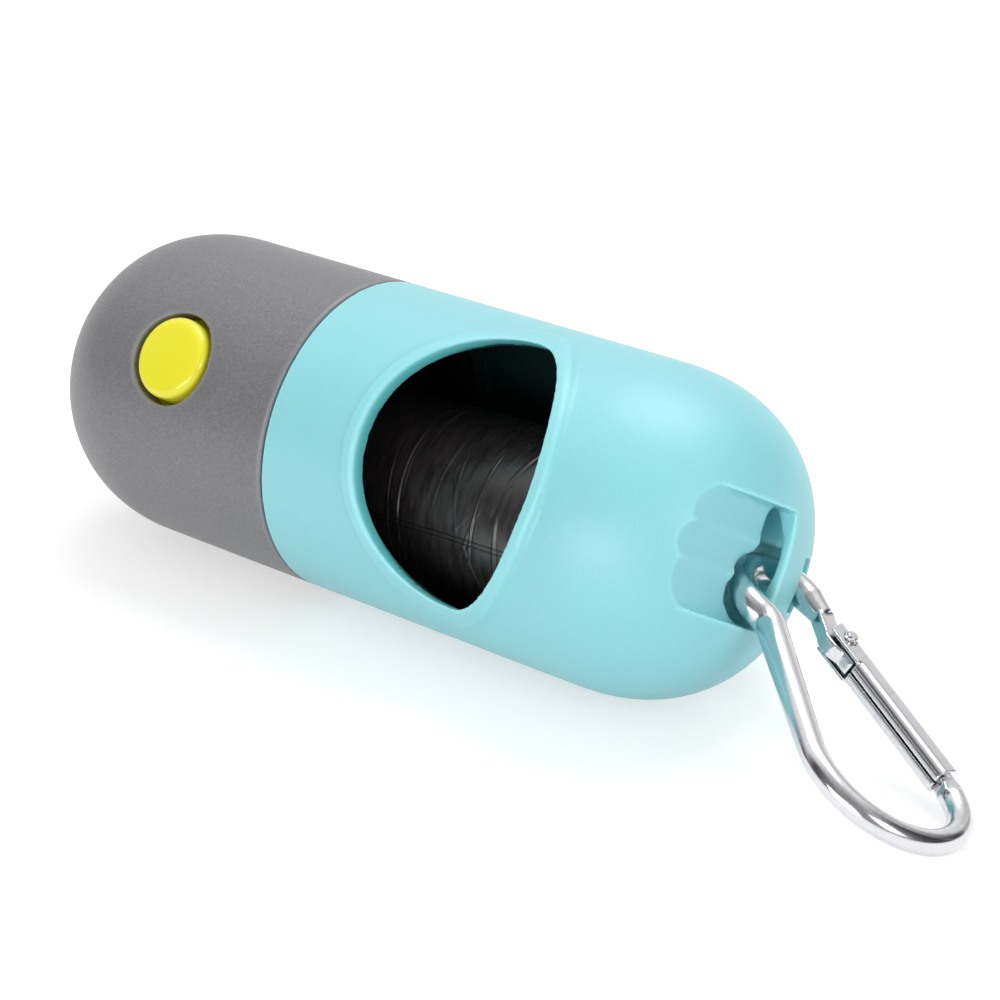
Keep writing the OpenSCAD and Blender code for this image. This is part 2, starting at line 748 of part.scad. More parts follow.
// A bend of the rod, round a centre, from one angle through a turn
module bend(centre, radius, from, turn, rod)
    translate(centre) rotate([0, 0, from]) rotate_extrude(angle = turn)
    translate([radius, 0]) circle(d = rod);

module rod_between(a, b, d1, d2) {
    v = b - a;
    translate(a) rotate([0, 90, atan2(v[1], v[0])]) cylinder(d1 = d1, d2 = d2, h = norm(v));
}

// Flattened end of the rod
module flat_end(points) translate([0, 0, -tang_t / 2]) linear_extrude(tang_t) polygon(points);

module carabiner_frame() color([0.80, 0.80, 0.82]) lying() clip_frame() difference() {
    leg_half = (leg_rod - step) / 2;
    nose_half = (bow_rod - step) / 2;
    union() {
        bend([0, 0], eye_r, 90, 180 - spread + kink, eye_rod);
        bend(kink_centre, kink_r, kink_head + 90 - kink, kink + turn_back(kink_r), eye_rod - step);
        rod_between(spine_start - step_in * spine_dir, spine_end, eye_rod - 2 * step, bow_rod + step);
        bend(bow_centre, bow_r, -spread - 90 - turn_back(bow_r), bow_turn + turn_back(bow_r), bow_rod);
        bend(nose_centre, nose_r, bow_turn - spread - 90 - turn_back(nose_r), nose_turn + turn_back(nose_r),
             bow_rod - step);
        flat_end([nose_end + [eps, nose_half - 0.1], nose_end + [-0.4, nose_half],
                  [nose_tang_p, gate_top - sheet_t - 0.35], [nose_tang_p, nose_low],
                  [gate_front_p + 0.2, nose_low], nose_end + [-0.4, -nose_half],
                  nose_end + [eps, -nose_half + 0.3]]);
        rod_between([-step_in, eye_r], [tang_start_p + 0.3, eye_r], eye_rod - step, leg_rod);
        flat_end([[tang_start_p, eye_r + leg_half], [tang_start_p, eye_r - leg_half],
                  [tang_start_p + 2.7, tang_low + 0.2], [rivet_p - 1.6, tang_belly],
                  [rivet_p + 0.4, tang_belly], [rivet_p + 1.6, tang_low + 0.2],
                  [tang_end_p, tang_low + 0.2],
                  [tang_end_p, rivet_q - 1], rivet_end, [rivet_p, rivet_q + tang_r],
                  [gate_back_p - 0.3, rivet_q + tang_r]]);
        translate([rivet_p, rivet_q, -tang_t / 2]) cylinder(r = tang_r, h = tang_t);
    }
    translate([rivet_p, rivet_q, -tang_t]) cylinder(r = rivet_r, h = 2 * tang_t);
}

// Folded sheet, drawn across its length: a flat tube whose two lips nearly meet on the spine's side
module gate_outline(inset) {
    half = gate_w / 2 - inset;
    fold = gate_fold - inset;
    low = gate_low + inset;
    top = gate_top - inset;
    translate([low + fold, -half]) square([top - low - 2 * fold, 2 * half]);
    translate([low, fold - half]) square([top - low, 2 * (half - fold)]);
    for (q = [low + fold, top - fold]) for (z = [fold - half, half - fold])
        translate([q, z]) circle(r = fold);
}

module gate_channel(inset) {
    gate_outline(inset);
    translate([gate_low - 2 * inset, inset - gate_w / 2]) square([gate_fold + inset, gate_w - 2 * inset]);
}

module gate_length(low, high) translate([low, 0, 0]) rotate([90, 0, 90]) linear_extrude(high - low) children();

module carabiner_gate() color([0.84, 0.84, 0.86]) lying() clip_frame() difference() {
    union() {
        gate_length(gate_lip_p, gate_front_p) difference() {
            gate_outline(0);
            gate_outline(sheet_t);
            translate([gate_low - eps, -gate_lip_gap / 2]) square([sheet_t + 2 * eps, gate_lip_gap]);
        }
        // Round the tang the cheeks stay flat, with no lips
        gate_length(gate_back_p, gate_lip_p + 0.05) difference() {
            gate_channel(0);
            gate_channel(sheet_t);
        }
    }
    // The hinge end is cut at a slant
    translate([0, 0, -gate_w]) linear_extrude(2 * gate_w)
        polygon([[gate_back_p - 1, gate_low - 1], [gate_back_p + gate_slant, gate_low - 1],
                 [gate_back_p, gate_top - gate_fold], [gate_back_p, gate_top + 1],
                 [gate_back_p - 1, gate_top + 1]]);
    translate([rivet_p, rivet_q, -gate_w]) cylinder(r = rivet_r + turn_gap, h = 2 * gate_w);
    // The web is cut back at the nose, so the cheeks swing past it
    translate([nose_tang_p - nose_slot_gap, gate_top - 2 * sheet_t, -tang_t / 2 - nose_slot_gap / 2])
        cube([gate_front_p - nose_tang_p + 2 * eps, gate_depth, tang_t + nose_slot_gap]);
}

module gate_rivet() color([0.75, 0.75, 0.77]) lying() clip_frame() translate([rivet_p, rivet_q, 0]) {
    grip = gate_w / 2 + seat_gap;
    translate([0, 0, -grip - 0.1]) cylinder(r = rivet_r, h = 2 * grip + 0.2);
    for (flip = [0, 1]) mirror([0, 0, flip]) translate([0, 0, grip]) {
        cylinder(r = rivet_head_r, h = 0.2);
        cylinder(r1 = rivet_head_r, r2 = rivet_head_r * 0.6, h = rivet_head_t);
    }
}

module gate_spring() color("silver") lying() clip_frame()
    translate([gate_spring_p, gate_top - sheet_t - gate_spring_r - gate_spring_wire, 0])
    rotate([0, 90, 0])
    coil(gate_spring_r, gate_spring_len, gate_spring_wire, gate_spring_turns, 8, 6);

echo(loop_gap = gate_spring_len / gate_spring_turns - gate_spring_wire);
echo(spring_gap = (stack_end - post_x - spring_wire - seat_gap) / spring_turns - spring_wire);

bag_housing();
bag_roll();
roll_core();
torch_shell();
torch_base();
base_screws();
seal_ring();
push_button();
switch_plunger();
tact_switch();
switch_board();
led_board();
led();
reflector();
torch_lens();
battery_holder();
button_cell(0);  // button_cell_1
button_cell(1);  // button_cell_2
button_cell(2);  // button_cell_3
contact_spring();
contact_plate();
red_lead();
black_lead();
carabiner_frame();
carabiner_gate();
gate_rivet();
gate_spring();
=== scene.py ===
# %% [markdown]
# This script dresses a pocket dispenser for dog bags: a capsule whose grey half is a small torch
# and whose teal half holds a roll of bags, with a carabiner in its end. The exact solids come
# from the CAD model and stay where they are. Blender adds what a solid leaves out: edges that
# the mould or the press rounded off, wrinkled film, and the finish of every surface.

# %% Load the solids and their record
import json
import math
import random

import bmesh
import bpy
import numpy as np
from mathutils import Matrix, Vector, noise
from mathutils.kdtree import KDTree


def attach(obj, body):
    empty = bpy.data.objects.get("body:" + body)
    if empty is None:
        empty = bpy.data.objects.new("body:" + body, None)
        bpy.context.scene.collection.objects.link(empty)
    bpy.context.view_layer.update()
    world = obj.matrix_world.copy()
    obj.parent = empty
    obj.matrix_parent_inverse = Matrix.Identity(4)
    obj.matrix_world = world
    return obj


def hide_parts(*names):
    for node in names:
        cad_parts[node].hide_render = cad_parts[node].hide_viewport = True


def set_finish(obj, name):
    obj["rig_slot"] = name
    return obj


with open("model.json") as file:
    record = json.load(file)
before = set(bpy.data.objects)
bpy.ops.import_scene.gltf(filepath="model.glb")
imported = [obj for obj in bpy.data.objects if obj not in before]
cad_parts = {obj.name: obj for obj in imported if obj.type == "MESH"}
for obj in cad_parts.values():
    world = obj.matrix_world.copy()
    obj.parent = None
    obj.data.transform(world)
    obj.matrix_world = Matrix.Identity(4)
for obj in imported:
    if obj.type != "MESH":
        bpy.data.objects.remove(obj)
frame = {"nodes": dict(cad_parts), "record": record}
nodes = frame["nodes"]
scene = bpy.context.scene
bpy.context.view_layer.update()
MM = 0.001

# %% [markdown]
# Everything on the capsule is measured from one point: where its axis crosses the seam between
# the halves. The boxes of the two shells give that point. The teal half runs from there towards
# +X and the grey one towards -X. Both domes are a little squarer than an ellipse, which the
# power in their equation gives.

# %% Measures of the capsule
def solid_box(node):
    corners = [nodes[node].matrix_world @ Vector(corner) for corner in nodes[node].bound_box]
    return [Vector([pick(c[i] for c in corners) for i in range(3)]) for pick in (min, max)]


torch_low, torch_high = solid_box("torch_shell")
housing_low = solid_box("bag_housing")[0]
SEAM = (torch_low + torch_high) / 2
SEAM.x = (torch_high.x + housing_low.x) / 2
BODY_RADIUS = 22.5 * MM
CAVITY_END = 59.5 * MM
TEAL_HALF = {"way": 1, "straight": 46.5 * MM, "height": 23.0 * MM, "power": 2.31}
GREY_HALF = {"way": -1, "straight": 27.95 * MM, "height": 21.9 * MM, "power": 2.16}
WINDOW_UP = math.radians(31.6)
BUTTON_SIDE = math.radians(35.0)


def side_frame(angle, along=0.0):
    """Frame on the capsule's axis: X along it, Y round it upwards and Z outwards at an angle."""
    turn = Matrix.Rotation(math.radians(90) - angle, 4, "X")
    return Matrix.Translation(SEAM) @ turn @ Matrix.Translation((along, 0, 0))


# %% [markdown]
# New pieces start as a bmesh. This helper turns one into an object at the origin, because the
# place of each piece is in its mesh, and shades it smooth.

# %% Helpers that finish a piece
def add_piece(name, bm):
    mesh = bpy.data.meshes.new(name)
    bm.to_mesh(mesh)
    bm.free()
    mesh.polygons.foreach_set("use_smooth", [True] * len(mesh.polygons))
    piece = bpy.data.objects.new(name, mesh)
    scene.collection.objects.link(piece)
    return piece


def apply_modifiers(piece):
    graph = bpy.context.evaluated_depsgraph_get()
    mesh = bpy.data.meshes.new_from_object(piece.evaluated_get(graph))
    piece.modifiers.clear()
    piece.data = mesh


def triangles(piece):
    return sum(len(p.vertices) - 2 for p in piece.data.polygons)


def share_of(value):
    """A value kept between 0 and 1."""
    return min(1.0, max(0.0, value))


print("piece helpers ready")


# %% [markdown]
# A moulded shell has no sharp edges: the mould's own corners are rounded, and so is the plastic
# that fills them. Bevelling a solid with a pocket, a window and a thread edge by edge is slow
# and breaks where cuts cross. Here the solid is rebuilt from small even faces instead, and
# relaxed a few times, so every edge melts into a soft one. More passes give a rounder edge.
#
# Where further passes would still pull a point inwards, the surface is an outer edge. That is
# noted before the faces are thinned out, and the finish paints such edges a little paler: a
# painted highlight, standing in for the light that moulded plastic lets through where it is thin.

# %% Melt the edges of a solid
TURNS_PER_TEST = 4
EDGE_PASSES = 5
EDGE_PULL = 0.03 * MM
EDGE_START = 0.25
MERGE_GAP = 0.002 * MM


def relax(bm, verts):
    bmesh.ops.smooth_vert(bm, verts=verts, factor=0.5,
                          use_axis_x=True, use_axis_y=True, use_axis_z=True)


def edge_tree(bm, mesh):
    """Where the outer edges are, as a search tree of points and a strength for each."""
    before = [v.co.copy() for v in bm.verts]
    normals = [v.normal.copy() for v in mesh.vertices]
    for _ in range(EDGE_PASSES):
        relax(bm, bm.verts)
    tree = KDTree(len(before))
    for i, point in enumerate(before):
        tree.insert(point, i)
    tree.balance()
    bm.verts.ensure_lookup_table()
    pulls = [(point - bm.verts[i].co).dot(normals[i]) for i, point in enumerate(before)]
    return tree, [share_of(pull / EDGE_PULL - EDGE_START) for pull in pulls]


def melted_copy(node, name, grain, passes, most_faces, softer=(), edge_marks=False):
    """softer has (test, passes) pairs: points that pass a test are relaxed that often more."""
    bm = bmesh.new()
    bm.from_mesh(nodes[node].data)
    bmesh.ops.remove_doubles(bm, verts=bm.verts, dist=MERGE_GAP)
    piece = add_piece(name, bm)
    remesh = piece.modifiers.new("Even faces", "REMESH")
    remesh.mode = "VOXEL"
    remesh.voxel_size = grain
    apply_modifiers(piece)
    bm = bmesh.new()
    bm.from_mesh(piece.data)
    for _ in range(passes):
        relax(bm, bm.verts)
    for test, more in softer:
        for turn in range(more):
            if turn % TURNS_PER_TEST == 0:
                chosen = [v for v in bm.verts if test(v.co, turn)]
            relax(bm, chosen)
    bm.to_mesh(piece.data)
    if edge_marks:
        marks = edge_tree(bm, piece.data)
    bm.free()
    share = most_faces / (2 * len(piece.data.polygons))
    if share < 1:
        thin = piece.modifiers.new("Fewer faces", "DECIMATE")
        thin.ratio = share
        apply_modifiers(piece)
    piece.data.polygons.foreach_set("use_smooth", [True] * len(piece.data.polygons))
    piece.data.materials.clear()
    # the outer edges' strengths are kept as a mark for the painted edge highlight
    if edge_marks:
        tree, strengths = marks
        mark = piece.data.attributes.new("Painted_edge_highlight", "FLOAT", "POINT")
        near = [strengths[tree.find(v.co)[1]] for v in piece.data.vertices]
        mark.data.foreach_set("value", near)
    print(name, triangles(piece), "triangles")
    return piece


# %% [markdown]
# The relaxed faces leave the large round surfaces very slightly uneven, which a gloss would
# show. Away from every edge, the points are therefore put back on the exact dome or cylinder,
# and their normals are set to its own. Near an edge the two blend.

# %% Put the plain surfaces back on their dome
SEAM_EDGE = 0.7 * MM
TINY = 1e-12


def below_dome(point, half, radius=BODY_RADIUS):
    """How deep a point lies under the outer surface of its half, roughly."""
    own = point - SEAM
    rise = max(own.x * half["way"] - half["straight"], 0) / half["height"]
    power = half["power"]
    level = ((math.hypot(own.y, own.z) / radius) ** power + rise ** power) ** (1 / power)
    return (1 - level) * radius


def settle_on_dome(piece, half, radius=BODY_RADIUS, reach=0.12 * MM, rings=5):
    mesh = piece.data
    count = len(mesh.vertices)
    points = np.empty(count * 3)
    mesh.vertices.foreach_get("co", points)
    points = points.reshape(-1, 3)
    own = points - np.array(SEAM)
    along = own[:, 0] * half["way"]
    round_part = np.hypot(own[:, 1], own[:, 2])
    rise = np.maximum(along - half["straight"], 0) / half["height"]
    power = half["power"]
    level = ((round_part / radius) ** power + rise ** power) ** (1 / power)
    far = (np.abs(level - 1) * radius > reach) | (along < SEAM_EDGE)
    steps = np.where(far, 0.0, float(rings))
    ends = np.empty(len(mesh.edges) * 2, dtype=np.int64)
    mesh.edges.foreach_get("vertices", ends)
    ends = ends.reshape(-1, 2)
    for _ in range(rings):
        low = np.minimum(steps[ends[:, 0]], steps[ends[:, 1]]) + 1
        np.minimum.at(steps, ends[:, 0], low)
        np.minimum.at(steps, ends[:, 1], low)
    blend = np.clip((steps - 1) / (rings - 1), 0, 1)
    blend = (blend * blend * (3 - 2 * blend))[:, None]
    settled = own.copy()
    settled[:, 1:] /= level[:, None]
    on_dome = along > half["straight"]
    straight = half["way"] * half["straight"]
    settled[on_dome, 0] = straight + (own[on_dome, 0] - straight) / level[on_dome]
    new = points * (1 - blend) + (settled + np.array(SEAM)) * blend
    mesh.vertices.foreach_set("co", new.ravel())
    mesh.update()
    slope = np.zeros_like(own)
    slope[:, 0] = half["way"] * rise ** (power - 1) / half["height"]
    pull = (round_part / radius) ** (power - 1) / radius / np.maximum(round_part, 1e-9)
    slope[:, 1:] = own[:, 1:] * pull[:, None]
    slope /= np.linalg.norm(slope, axis=1)[:, None] + TINY
    normals = np.empty(count * 3)
    mesh.vertices.foreach_get("normal", normals)
    normals = normals.reshape(-1, 3) * (1 - blend) + slope * blend
    normals /= np.linalg.norm(normals, axis=1)[:, None] + TINY
    mesh.normals_split_custom_set_from_vertices(normals.tolist())
    print(piece.name, "settled", int((blend[:, 0] > 0.99).sum()), "of", count, "points")


# %% [markdown]
# Light soaks through the thin edge of the window, so its wall looks a deeper turquoise than the
# outside, and hardly any light gets into the capsule, so its inside looks nearly black. Both are
# painted into the colour as painted shade: the wall is painted a deeper turquoise and the inner
# faces nearly black. The mesh carries a mark for this: it rises to a half on the wall, and to one
# on the inner faces.

# %% Mark the window's wall and the faces inside for painted shade
LIP_RISE = 0.3
HALF_WALL = 1.2
DARK_FROM = 1.7
DARK_BLEND = 0.9


def mark_painted_shade(piece, half):
    mesh = piece.data
    values = []
    for vert in mesh.vertices:
        own = vert.co - SEAM
        depth = below_dome(vert.co, half) / MM
        outwards = Vector((0, own.y, own.z)).normalized().dot(vert.normal)
        wall = share_of(depth + LIP_RISE) * share_of((0.75 - outwards) / 0.5)
        inside = share_of((-outwards - 0.15) / 0.6) if depth > HALF_WALL else 0
        inside = max(inside, share_of((depth - DARK_FROM) / DARK_BLEND))
        # painted shade: a half on the window's wall, full on the inner faces
        values.append(max(0.5 * wall, inside) if own.x < CAVITY_END else 0)
    mark = mesh.attributes.new("Inside", "FLOAT", "POINT")
    mark.data.foreach_set("value", values)
    print(piece.name, "inside marks on", sum(v > 0.5 for v in values), "points")


# %% [markdown]
# The teal half is one moulding with a raised lip round its window and a pocket with a bar at
# its end. In the photograph the lip is as round as a bead and the scallops of the pocket flow
# into each other, so the points there are relaxed more often. The limits move with each pass,
# so no step shows.

# %% Teal half
WINDOW_FROM, WINDOW_TO = 12, 48
WINDOW_SIDE = -4
WINDOW_TURNS = 20
POCKET_FROM, POCKET_TO = 55, 69
SCALLOPS_TO = 65.5
POCKET_DEPTH = 0.3
POCKET_TURNS = 64
WHOLE_POCKET_TURNS = 16


def near_window(point, turn):
    own = point - SEAM
    up = own.y * math.cos(WINDOW_UP) - own.z * math.sin(WINDOW_UP)
    last = (WINDOW_TO - 0.3 * turn) * MM
    return WINDOW_FROM * MM < own.x < last and up < WINDOW_SIDE * MM


def in_pocket(point, turn):
    along = (point.x - SEAM.x) / MM
    last = POCKET_TO if turn < WHOLE_POCKET_TURNS else SCALLOPS_TO
    if not POCKET_FROM < along < last:
        return False
    return below_dome(point, TEAL_HALF) / MM > POCKET_DEPTH + 0.012 * turn


housing = melted_copy("bag_housing", "housing_moulding", 0.22 * MM, 10, 195000, edge_marks=True,
                      softer=((near_window, WINDOW_TURNS), (in_pocket, POCKET_TURNS)))
settle_on_dome(housing, TEAL_HALF)
mark_painted_shade(housing, TEAL_HALF)
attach(housing, "housing")
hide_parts("bag_housing")
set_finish(housing, "teal_plastic")

# %% [markdown]
# The grey half is moulded in the same way, with the button's collar, three screw posts and the
# lens seat inside. Its outer edges are small, so a few passes are enough.

# %% Grey half
torch = melted_copy("torch_shell", "torch_moulding", 0.3 * MM, 4, 190000, edge_marks=True)
settle_on_dome(torch, GREY_HALF)
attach(torch, "torch")
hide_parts("torch_shell")
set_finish(torch, "grey_plastic")

# %% [markdown]
# The base closes the grey half and carries the thread that screws into the teal one. A moulded
# thread has round crests, which the same melting gives to the plain ridges of the solid.

# %% Threaded base
base = melted_copy("torch_base", "torch_base_moulding", 0.3 * MM, 3, 120000)
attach(base, "torch")
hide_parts("torch_base")
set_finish(base, "black_plastic")

# %% [markdown]
# The carabiner is one bent aluminium rod whose ends are pressed flat. Where the press stops,
# the round rod flows into the flat in a soft shoulder. Fine faces and ten passes make it.
# The rivet's head was hammered, so it is pinched to a soft diamond along the gate.

# %% Carabiner, gate and rivet
clip_rod = melted_copy("carabiner_frame", "carabiner_rod", 0.15 * MM, 10, 150000)
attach(clip_rod, "carabiner")
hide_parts("carabiner_frame")
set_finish(clip_rod, "aluminium")

clip_gate = melted_copy("carabiner_gate", "carabiner_gate_sheet", 0.1 * MM, 4, 150000)
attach(clip_gate, "gate")
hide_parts("carabiner_gate")
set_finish(clip_gate, "aluminium")

clip_rivet = melted_copy("gate_rivet", "carabiner_rivet", 0.06 * MM, 4, 40000)
CLIP_ALONG = Vector((0.86244, -0.30419, -0.40456))
CLIP_UP = Vector((0.18147, 0.93195, -0.31390))
ROUND_CORE = 0.7 * MM
PINCH = 0.24
PINCH_BLEND = 0.4 * MM
rivet_low, rivet_high = solid_box("gate_rivet")
rivet_centre = (rivet_low + rivet_high) / 2
for vert in clip_rivet.data.vertices:
    out = vert.co - rivet_centre
    across = Vector((out.dot(CLIP_ALONG), out.dot(CLIP_UP)))
    if across.length > ROUND_CORE:
        turn = math.atan2(across.y, across.x)
        fade = min(1, (across.length - ROUND_CORE) / PINCH_BLEND)
        pinch = PINCH * math.sin(2 * turn) ** 2 * fade
        vert.co -= pinch * (across.x * CLIP_ALONG + across.y * CLIP_UP)
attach(clip_rivet, "carabiner")
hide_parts("gate_rivet")
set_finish(clip_rivet, "aluminium")

# %% [markdown]
# The push button is a thin moulded cap with a flange that keeps it in and a stem that meets the
# switch. It is round, so a profile spun about its own axis is all it takes. The top is very
# slightly domed and its edge is well rounded, as the highlight on it shows.

# %% Push button
def spun(profile, steps, place):
    """Spins a profile of (radius, height) points about Z and puts the result in place."""
    bm = bmesh.new()
    points = [bm.verts.new((r * MM, 0, h * MM)) for r, h in profile]
    edges = [bm.edges.new(pair) for pair in zip(points, points[1:])]
    bmesh.ops.spin(bm, geom=points + edges, cent=(0, 0, 0), axis=(0, 0, 1),
                   angle=math.radians(360), steps=steps, use_merge=True)
    bmesh.ops.remove_doubles(bm, verts=bm.verts, dist=0.003 * MM)
    bmesh.ops.recalc_face_normals(bm, faces=bm.faces)
    bmesh.ops.transform(bm, matrix=place, verts=bm.verts)
    return bm


def arc(centre, radius, start, end, steps):
    """Points on an arc in the profile's plane, angles in degrees."""
    angles = [math.radians(start + (end - start) * i / steps) for i in range(steps + 1)]
    return [(centre[0] + radius * math.cos(a), centre[1] + radius * math.sin(a)) for a in angles]


BUTTON_ALONG = -20.1 * MM
BUTTON_RADIUS = 5.9
BUTTON_TOP = 23.1
BUTTON_EDGE = 1.25
BUTTON_DOME = 0.22
STEM_RADIUS = 2.0
STEM_IN = 14.0
CAP_BORE = 4.3
CAP_ROOF = 21.4
FLANGE_LOW = 16.85
FLANGE_OUT = BUTTON_RADIUS + 1.55
FLANGE_EDGE = 0.15
DOME_STEPS = 8
cap_profile = [(0, STEM_IN), (STEM_RADIUS - 0.2, STEM_IN), (STEM_RADIUS, STEM_IN + 0.2),
               (STEM_RADIUS, CAP_ROOF - 0.4), (STEM_RADIUS + 0.5, CAP_ROOF),
               (CAP_BORE - 0.25, CAP_ROOF), (CAP_BORE, CAP_ROOF - 0.3), (CAP_BORE, FLANGE_LOW)]
cap_profile += arc((FLANGE_OUT, FLANGE_LOW + 0.15), FLANGE_EDGE, -90, 0, 3)
cap_profile += arc((FLANGE_OUT, FLANGE_LOW + 0.85), FLANGE_EDGE, 0, 90, 3)
cap_profile += [(BUTTON_RADIUS + 0.05, FLANGE_LOW + 1.0), (BUTTON_RADIUS, FLANGE_LOW + 1.1)]
cap_profile += arc((BUTTON_RADIUS - BUTTON_EDGE, BUTTON_TOP - BUTTON_DOME - BUTTON_EDGE),
                   BUTTON_EDGE, 0, 84, 10)
dome_start = cap_profile[-1]
for step in range(1, DOME_STEPS + 1):
    left = 1 - step / DOME_STEPS
    cap_profile.append((dome_start[0] * left,
                        BUTTON_TOP - (BUTTON_TOP - dome_start[1]) * left ** 2))
button_place = side_frame(BUTTON_SIDE, BUTTON_ALONG)
button = add_piece("torch_button", spun(cap_profile, 128, button_place))
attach(button, "button")
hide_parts("push_button")
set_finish(button, "yellow_plastic")
print("button", triangles(button), "triangles")

# %% [markdown]
# Dog bags are wound from one long strip of thin film, folded lengthwise, round a card tube. A
# spun profile gives the body of the roll. Its rings lie closer together where the window shows
# them, because the creases need fine faces there.

# %% Roll of film
ROLL_RADIUS = 13.9
ROLL_BORE = 7.3
ROLL_LENGTH = 50.2
ROLL_TILT = math.radians(2.41991)
ROLL_START = Vector((6.55, 0, -6.05)) * MM
ROLL_STEPS = 290
END_ROUND = 0.35
END_RINGS = 16
SHOWN_FROM, SHOWN_TO = 7.0, 35.0
roll_place = (Matrix.Translation(SEAM + ROLL_START)
              @ Matrix.Rotation(math.radians(90) - ROLL_TILT, 4, "Y"))


def evenly(start, end, parts):
    """The places where a length is cut into parts, without its end."""
    return [start + (end - start) * k / parts for k in range(parts)]


stations = (evenly(0, SHOWN_FROM, 20)[1:] + evenly(SHOWN_FROM, SHOWN_TO, 246)
            + evenly(SHOWN_TO, ROLL_LENGTH, 32))
end_width = ROLL_RADIUS - END_ROUND - ROLL_BORE
outline = [(ROLL_BORE + end_width * k / END_RINGS, 0.0) for k in range(END_RINGS + 1)]
outline += [(ROLL_RADIUS, station) for station in stations]
outline += [(ROLL_RADIUS - END_ROUND - end_width * k / END_RINGS, ROLL_LENGTH)
            for k in range(END_RINGS)]
outline += [(ROLL_BORE, ROLL_LENGTH), (ROLL_BORE, 0.0)]
film_bm = spun(outline, ROLL_STEPS, Matrix.Identity(4))
print("plain roll", len(film_bm.verts), "points")

# %% [markdown]
# The film never lies quite flat: it creases round the roll in long thin ridges, and its free
# end leaves a small step. Each ridge is a path across the roll, along which the points move
# out a little, with a shallow dip beside it. Slow noise makes the roll lumpy as a wound one is.

# %% Creases in the film
draw = random.Random(11)
CREASES = 100
BOLD_CREASES = 30
creases = []
for number in range(CREASES):
    bold = number < BOLD_CREASES
    creases.append({
        "at": draw.uniform(1, ROLL_LENGTH - 1), "from": draw.uniform(0, 360),
        "length": draw.uniform(70, 170) if bold else draw.uniform(12, 60),
        "slope": draw.uniform(-6.0, 6.0) if bold else draw.uniform(-5.0, 5.0),
        "bow": draw.uniform(-1.8, 1.8) if bold else draw.uniform(-0.5, 0.5),
        "wave": draw.uniform(0, 360), "width": draw.uniform(0.12, 0.26),
        "height": draw.uniform(0.10, 0.22) if bold else draw.uniform(0.03, 0.10)})


LUMPS = {"height": 0.12, "along": 0.09, "round": 1.3, "lift": 0}
RIPPLES = {"height": 0.03, "along": 0.9, "round": 3.0, "lift": 7}
DIP_SHARE = 0.45
DIP_BESIDE = 1.3


def unevenness(form, angle, along):
    """Slow noise on the roll: its height in millimetres at a turn and a place along it."""
    place = Vector((along * form["along"], math.cos(math.radians(angle)) * form["round"],
                    math.sin(math.radians(angle)) * form["round"] + form["lift"]))
    return form["height"] * noise.noise(place)


def film_height(angle, along):
    """How far the film stands above its lowest, in millimetres, at an angle in degrees."""
    height = unevenness(LUMPS, angle, along) + unevenness(RIPPLES, angle, along)
    for c in creases:
        t = ((angle - c["from"]) % 360) / c["length"]
        if t < 1:
            path = (c["at"] + c["slope"] * (t - 0.5)
                    + c["bow"] * math.sin(math.radians(180 * t + c["wave"])))
            across = (along - path) / c["width"]
            if abs(across) < 3:
                fade = math.sin(math.pi * t) ** 0.6
                ridge = math.exp(-across * across)
                dip = DIP_SHARE * math.exp(-(across - DIP_BESIDE) ** 2)
                height += c["height"] * fade * (ridge - dip)
    return height


FREE_EDGE = 330.0
FREE_EDGE_STEP = 0.14
FILM_ROOM = 0.3
for vert in film_bm.verts:
    radius = math.hypot(vert.co.x, vert.co.y)
    if radius < (ROLL_RADIUS - 0.5) * MM:
        continue
    angle = math.degrees(math.atan2(vert.co.y, vert.co.x)) % 360
    along = vert.co.z / MM
    since_edge = (angle - FREE_EDGE) % 360
    spiral = -FREE_EDGE_STEP * since_edge / 360
    rise = film_height(angle, along) + spiral - FILM_ROOM
    new_radius = (ROLL_RADIUS + min(rise, 0)) * MM
    vert.co.x *= new_radius / radius
    vert.co.y *= new_radius / radius
print(len(creases), "creases")

# %% [markdown]
# The film's finish has to follow it round the roll, so the roll gets a map of its own: one
# direction is the way round it and the other the way along it, both in real metres.

# %% Map of the film, and the roll's place
uv_layer = film_bm.loops.layers.uv.new("Round the roll")
for face in film_bm.faces:
    middle = math.atan2(face.calc_center_median().y, face.calc_center_median().x)
    for loop in face.loops:
        turn = math.atan2(loop.vert.co.y, loop.vert.co.x)
        turn += math.tau * round((middle - turn) / math.tau)
        reach = math.hypot(loop.vert.co.x, loop.vert.co.y) + loop.vert.co.z
        loop[uv_layer].uv = (turn * ROLL_RADIUS * MM, reach)
bmesh.ops.transform(film_bm, matrix=roll_place, verts=film_bm.verts)
film = add_piece("film_roll", film_bm)
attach(film, "roll")
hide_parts("bag_roll")
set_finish(film, "black_film")
print("film roll", triangles(film), "triangles")

# %% [markdown]
# Effects that several finishes share are node groups, built once. A group gets a point and its
# settings, and gives back a colour, a mask or a height. Sizes are in metres, so the same grain
# is as coarse on every piece that uses it.

# %% Small helpers for node trees
def make_group(title, inputs, outputs):
    group = bpy.data.node_groups.new(title, "ShaderNodeTree")
    kinds = {"v": "NodeSocketVector", "f": "NodeSocketFloat", "c": "NodeSocketColor"}
    for name, kind, value in inputs:
        socket = group.interface.new_socket(name, in_out="INPUT", socket_type=kinds[kind])
        if value is not None:
            socket.default_value = value
    for name, kind in outputs:
        group.interface.new_socket(name, in_out="OUTPUT", socket_type=kinds[kind])
    return group, group.nodes.new("NodeGroupInput"), group.nodes.new("NodeGroupOutput")


def math_node(tree, kind, first, second=None, clamp=False):
    node = tree.nodes.new("ShaderNodeMath")
    node.operation = kind
    node.use_clamp = clamp
    for socket, value in zip(node.inputs, (first, second)):
        if value is None:
            continue
        if isinstance(value, (int, float)):
            socket.default_value = value
        else:
            tree.links.new(value, socket)
    return node.outputs[0]


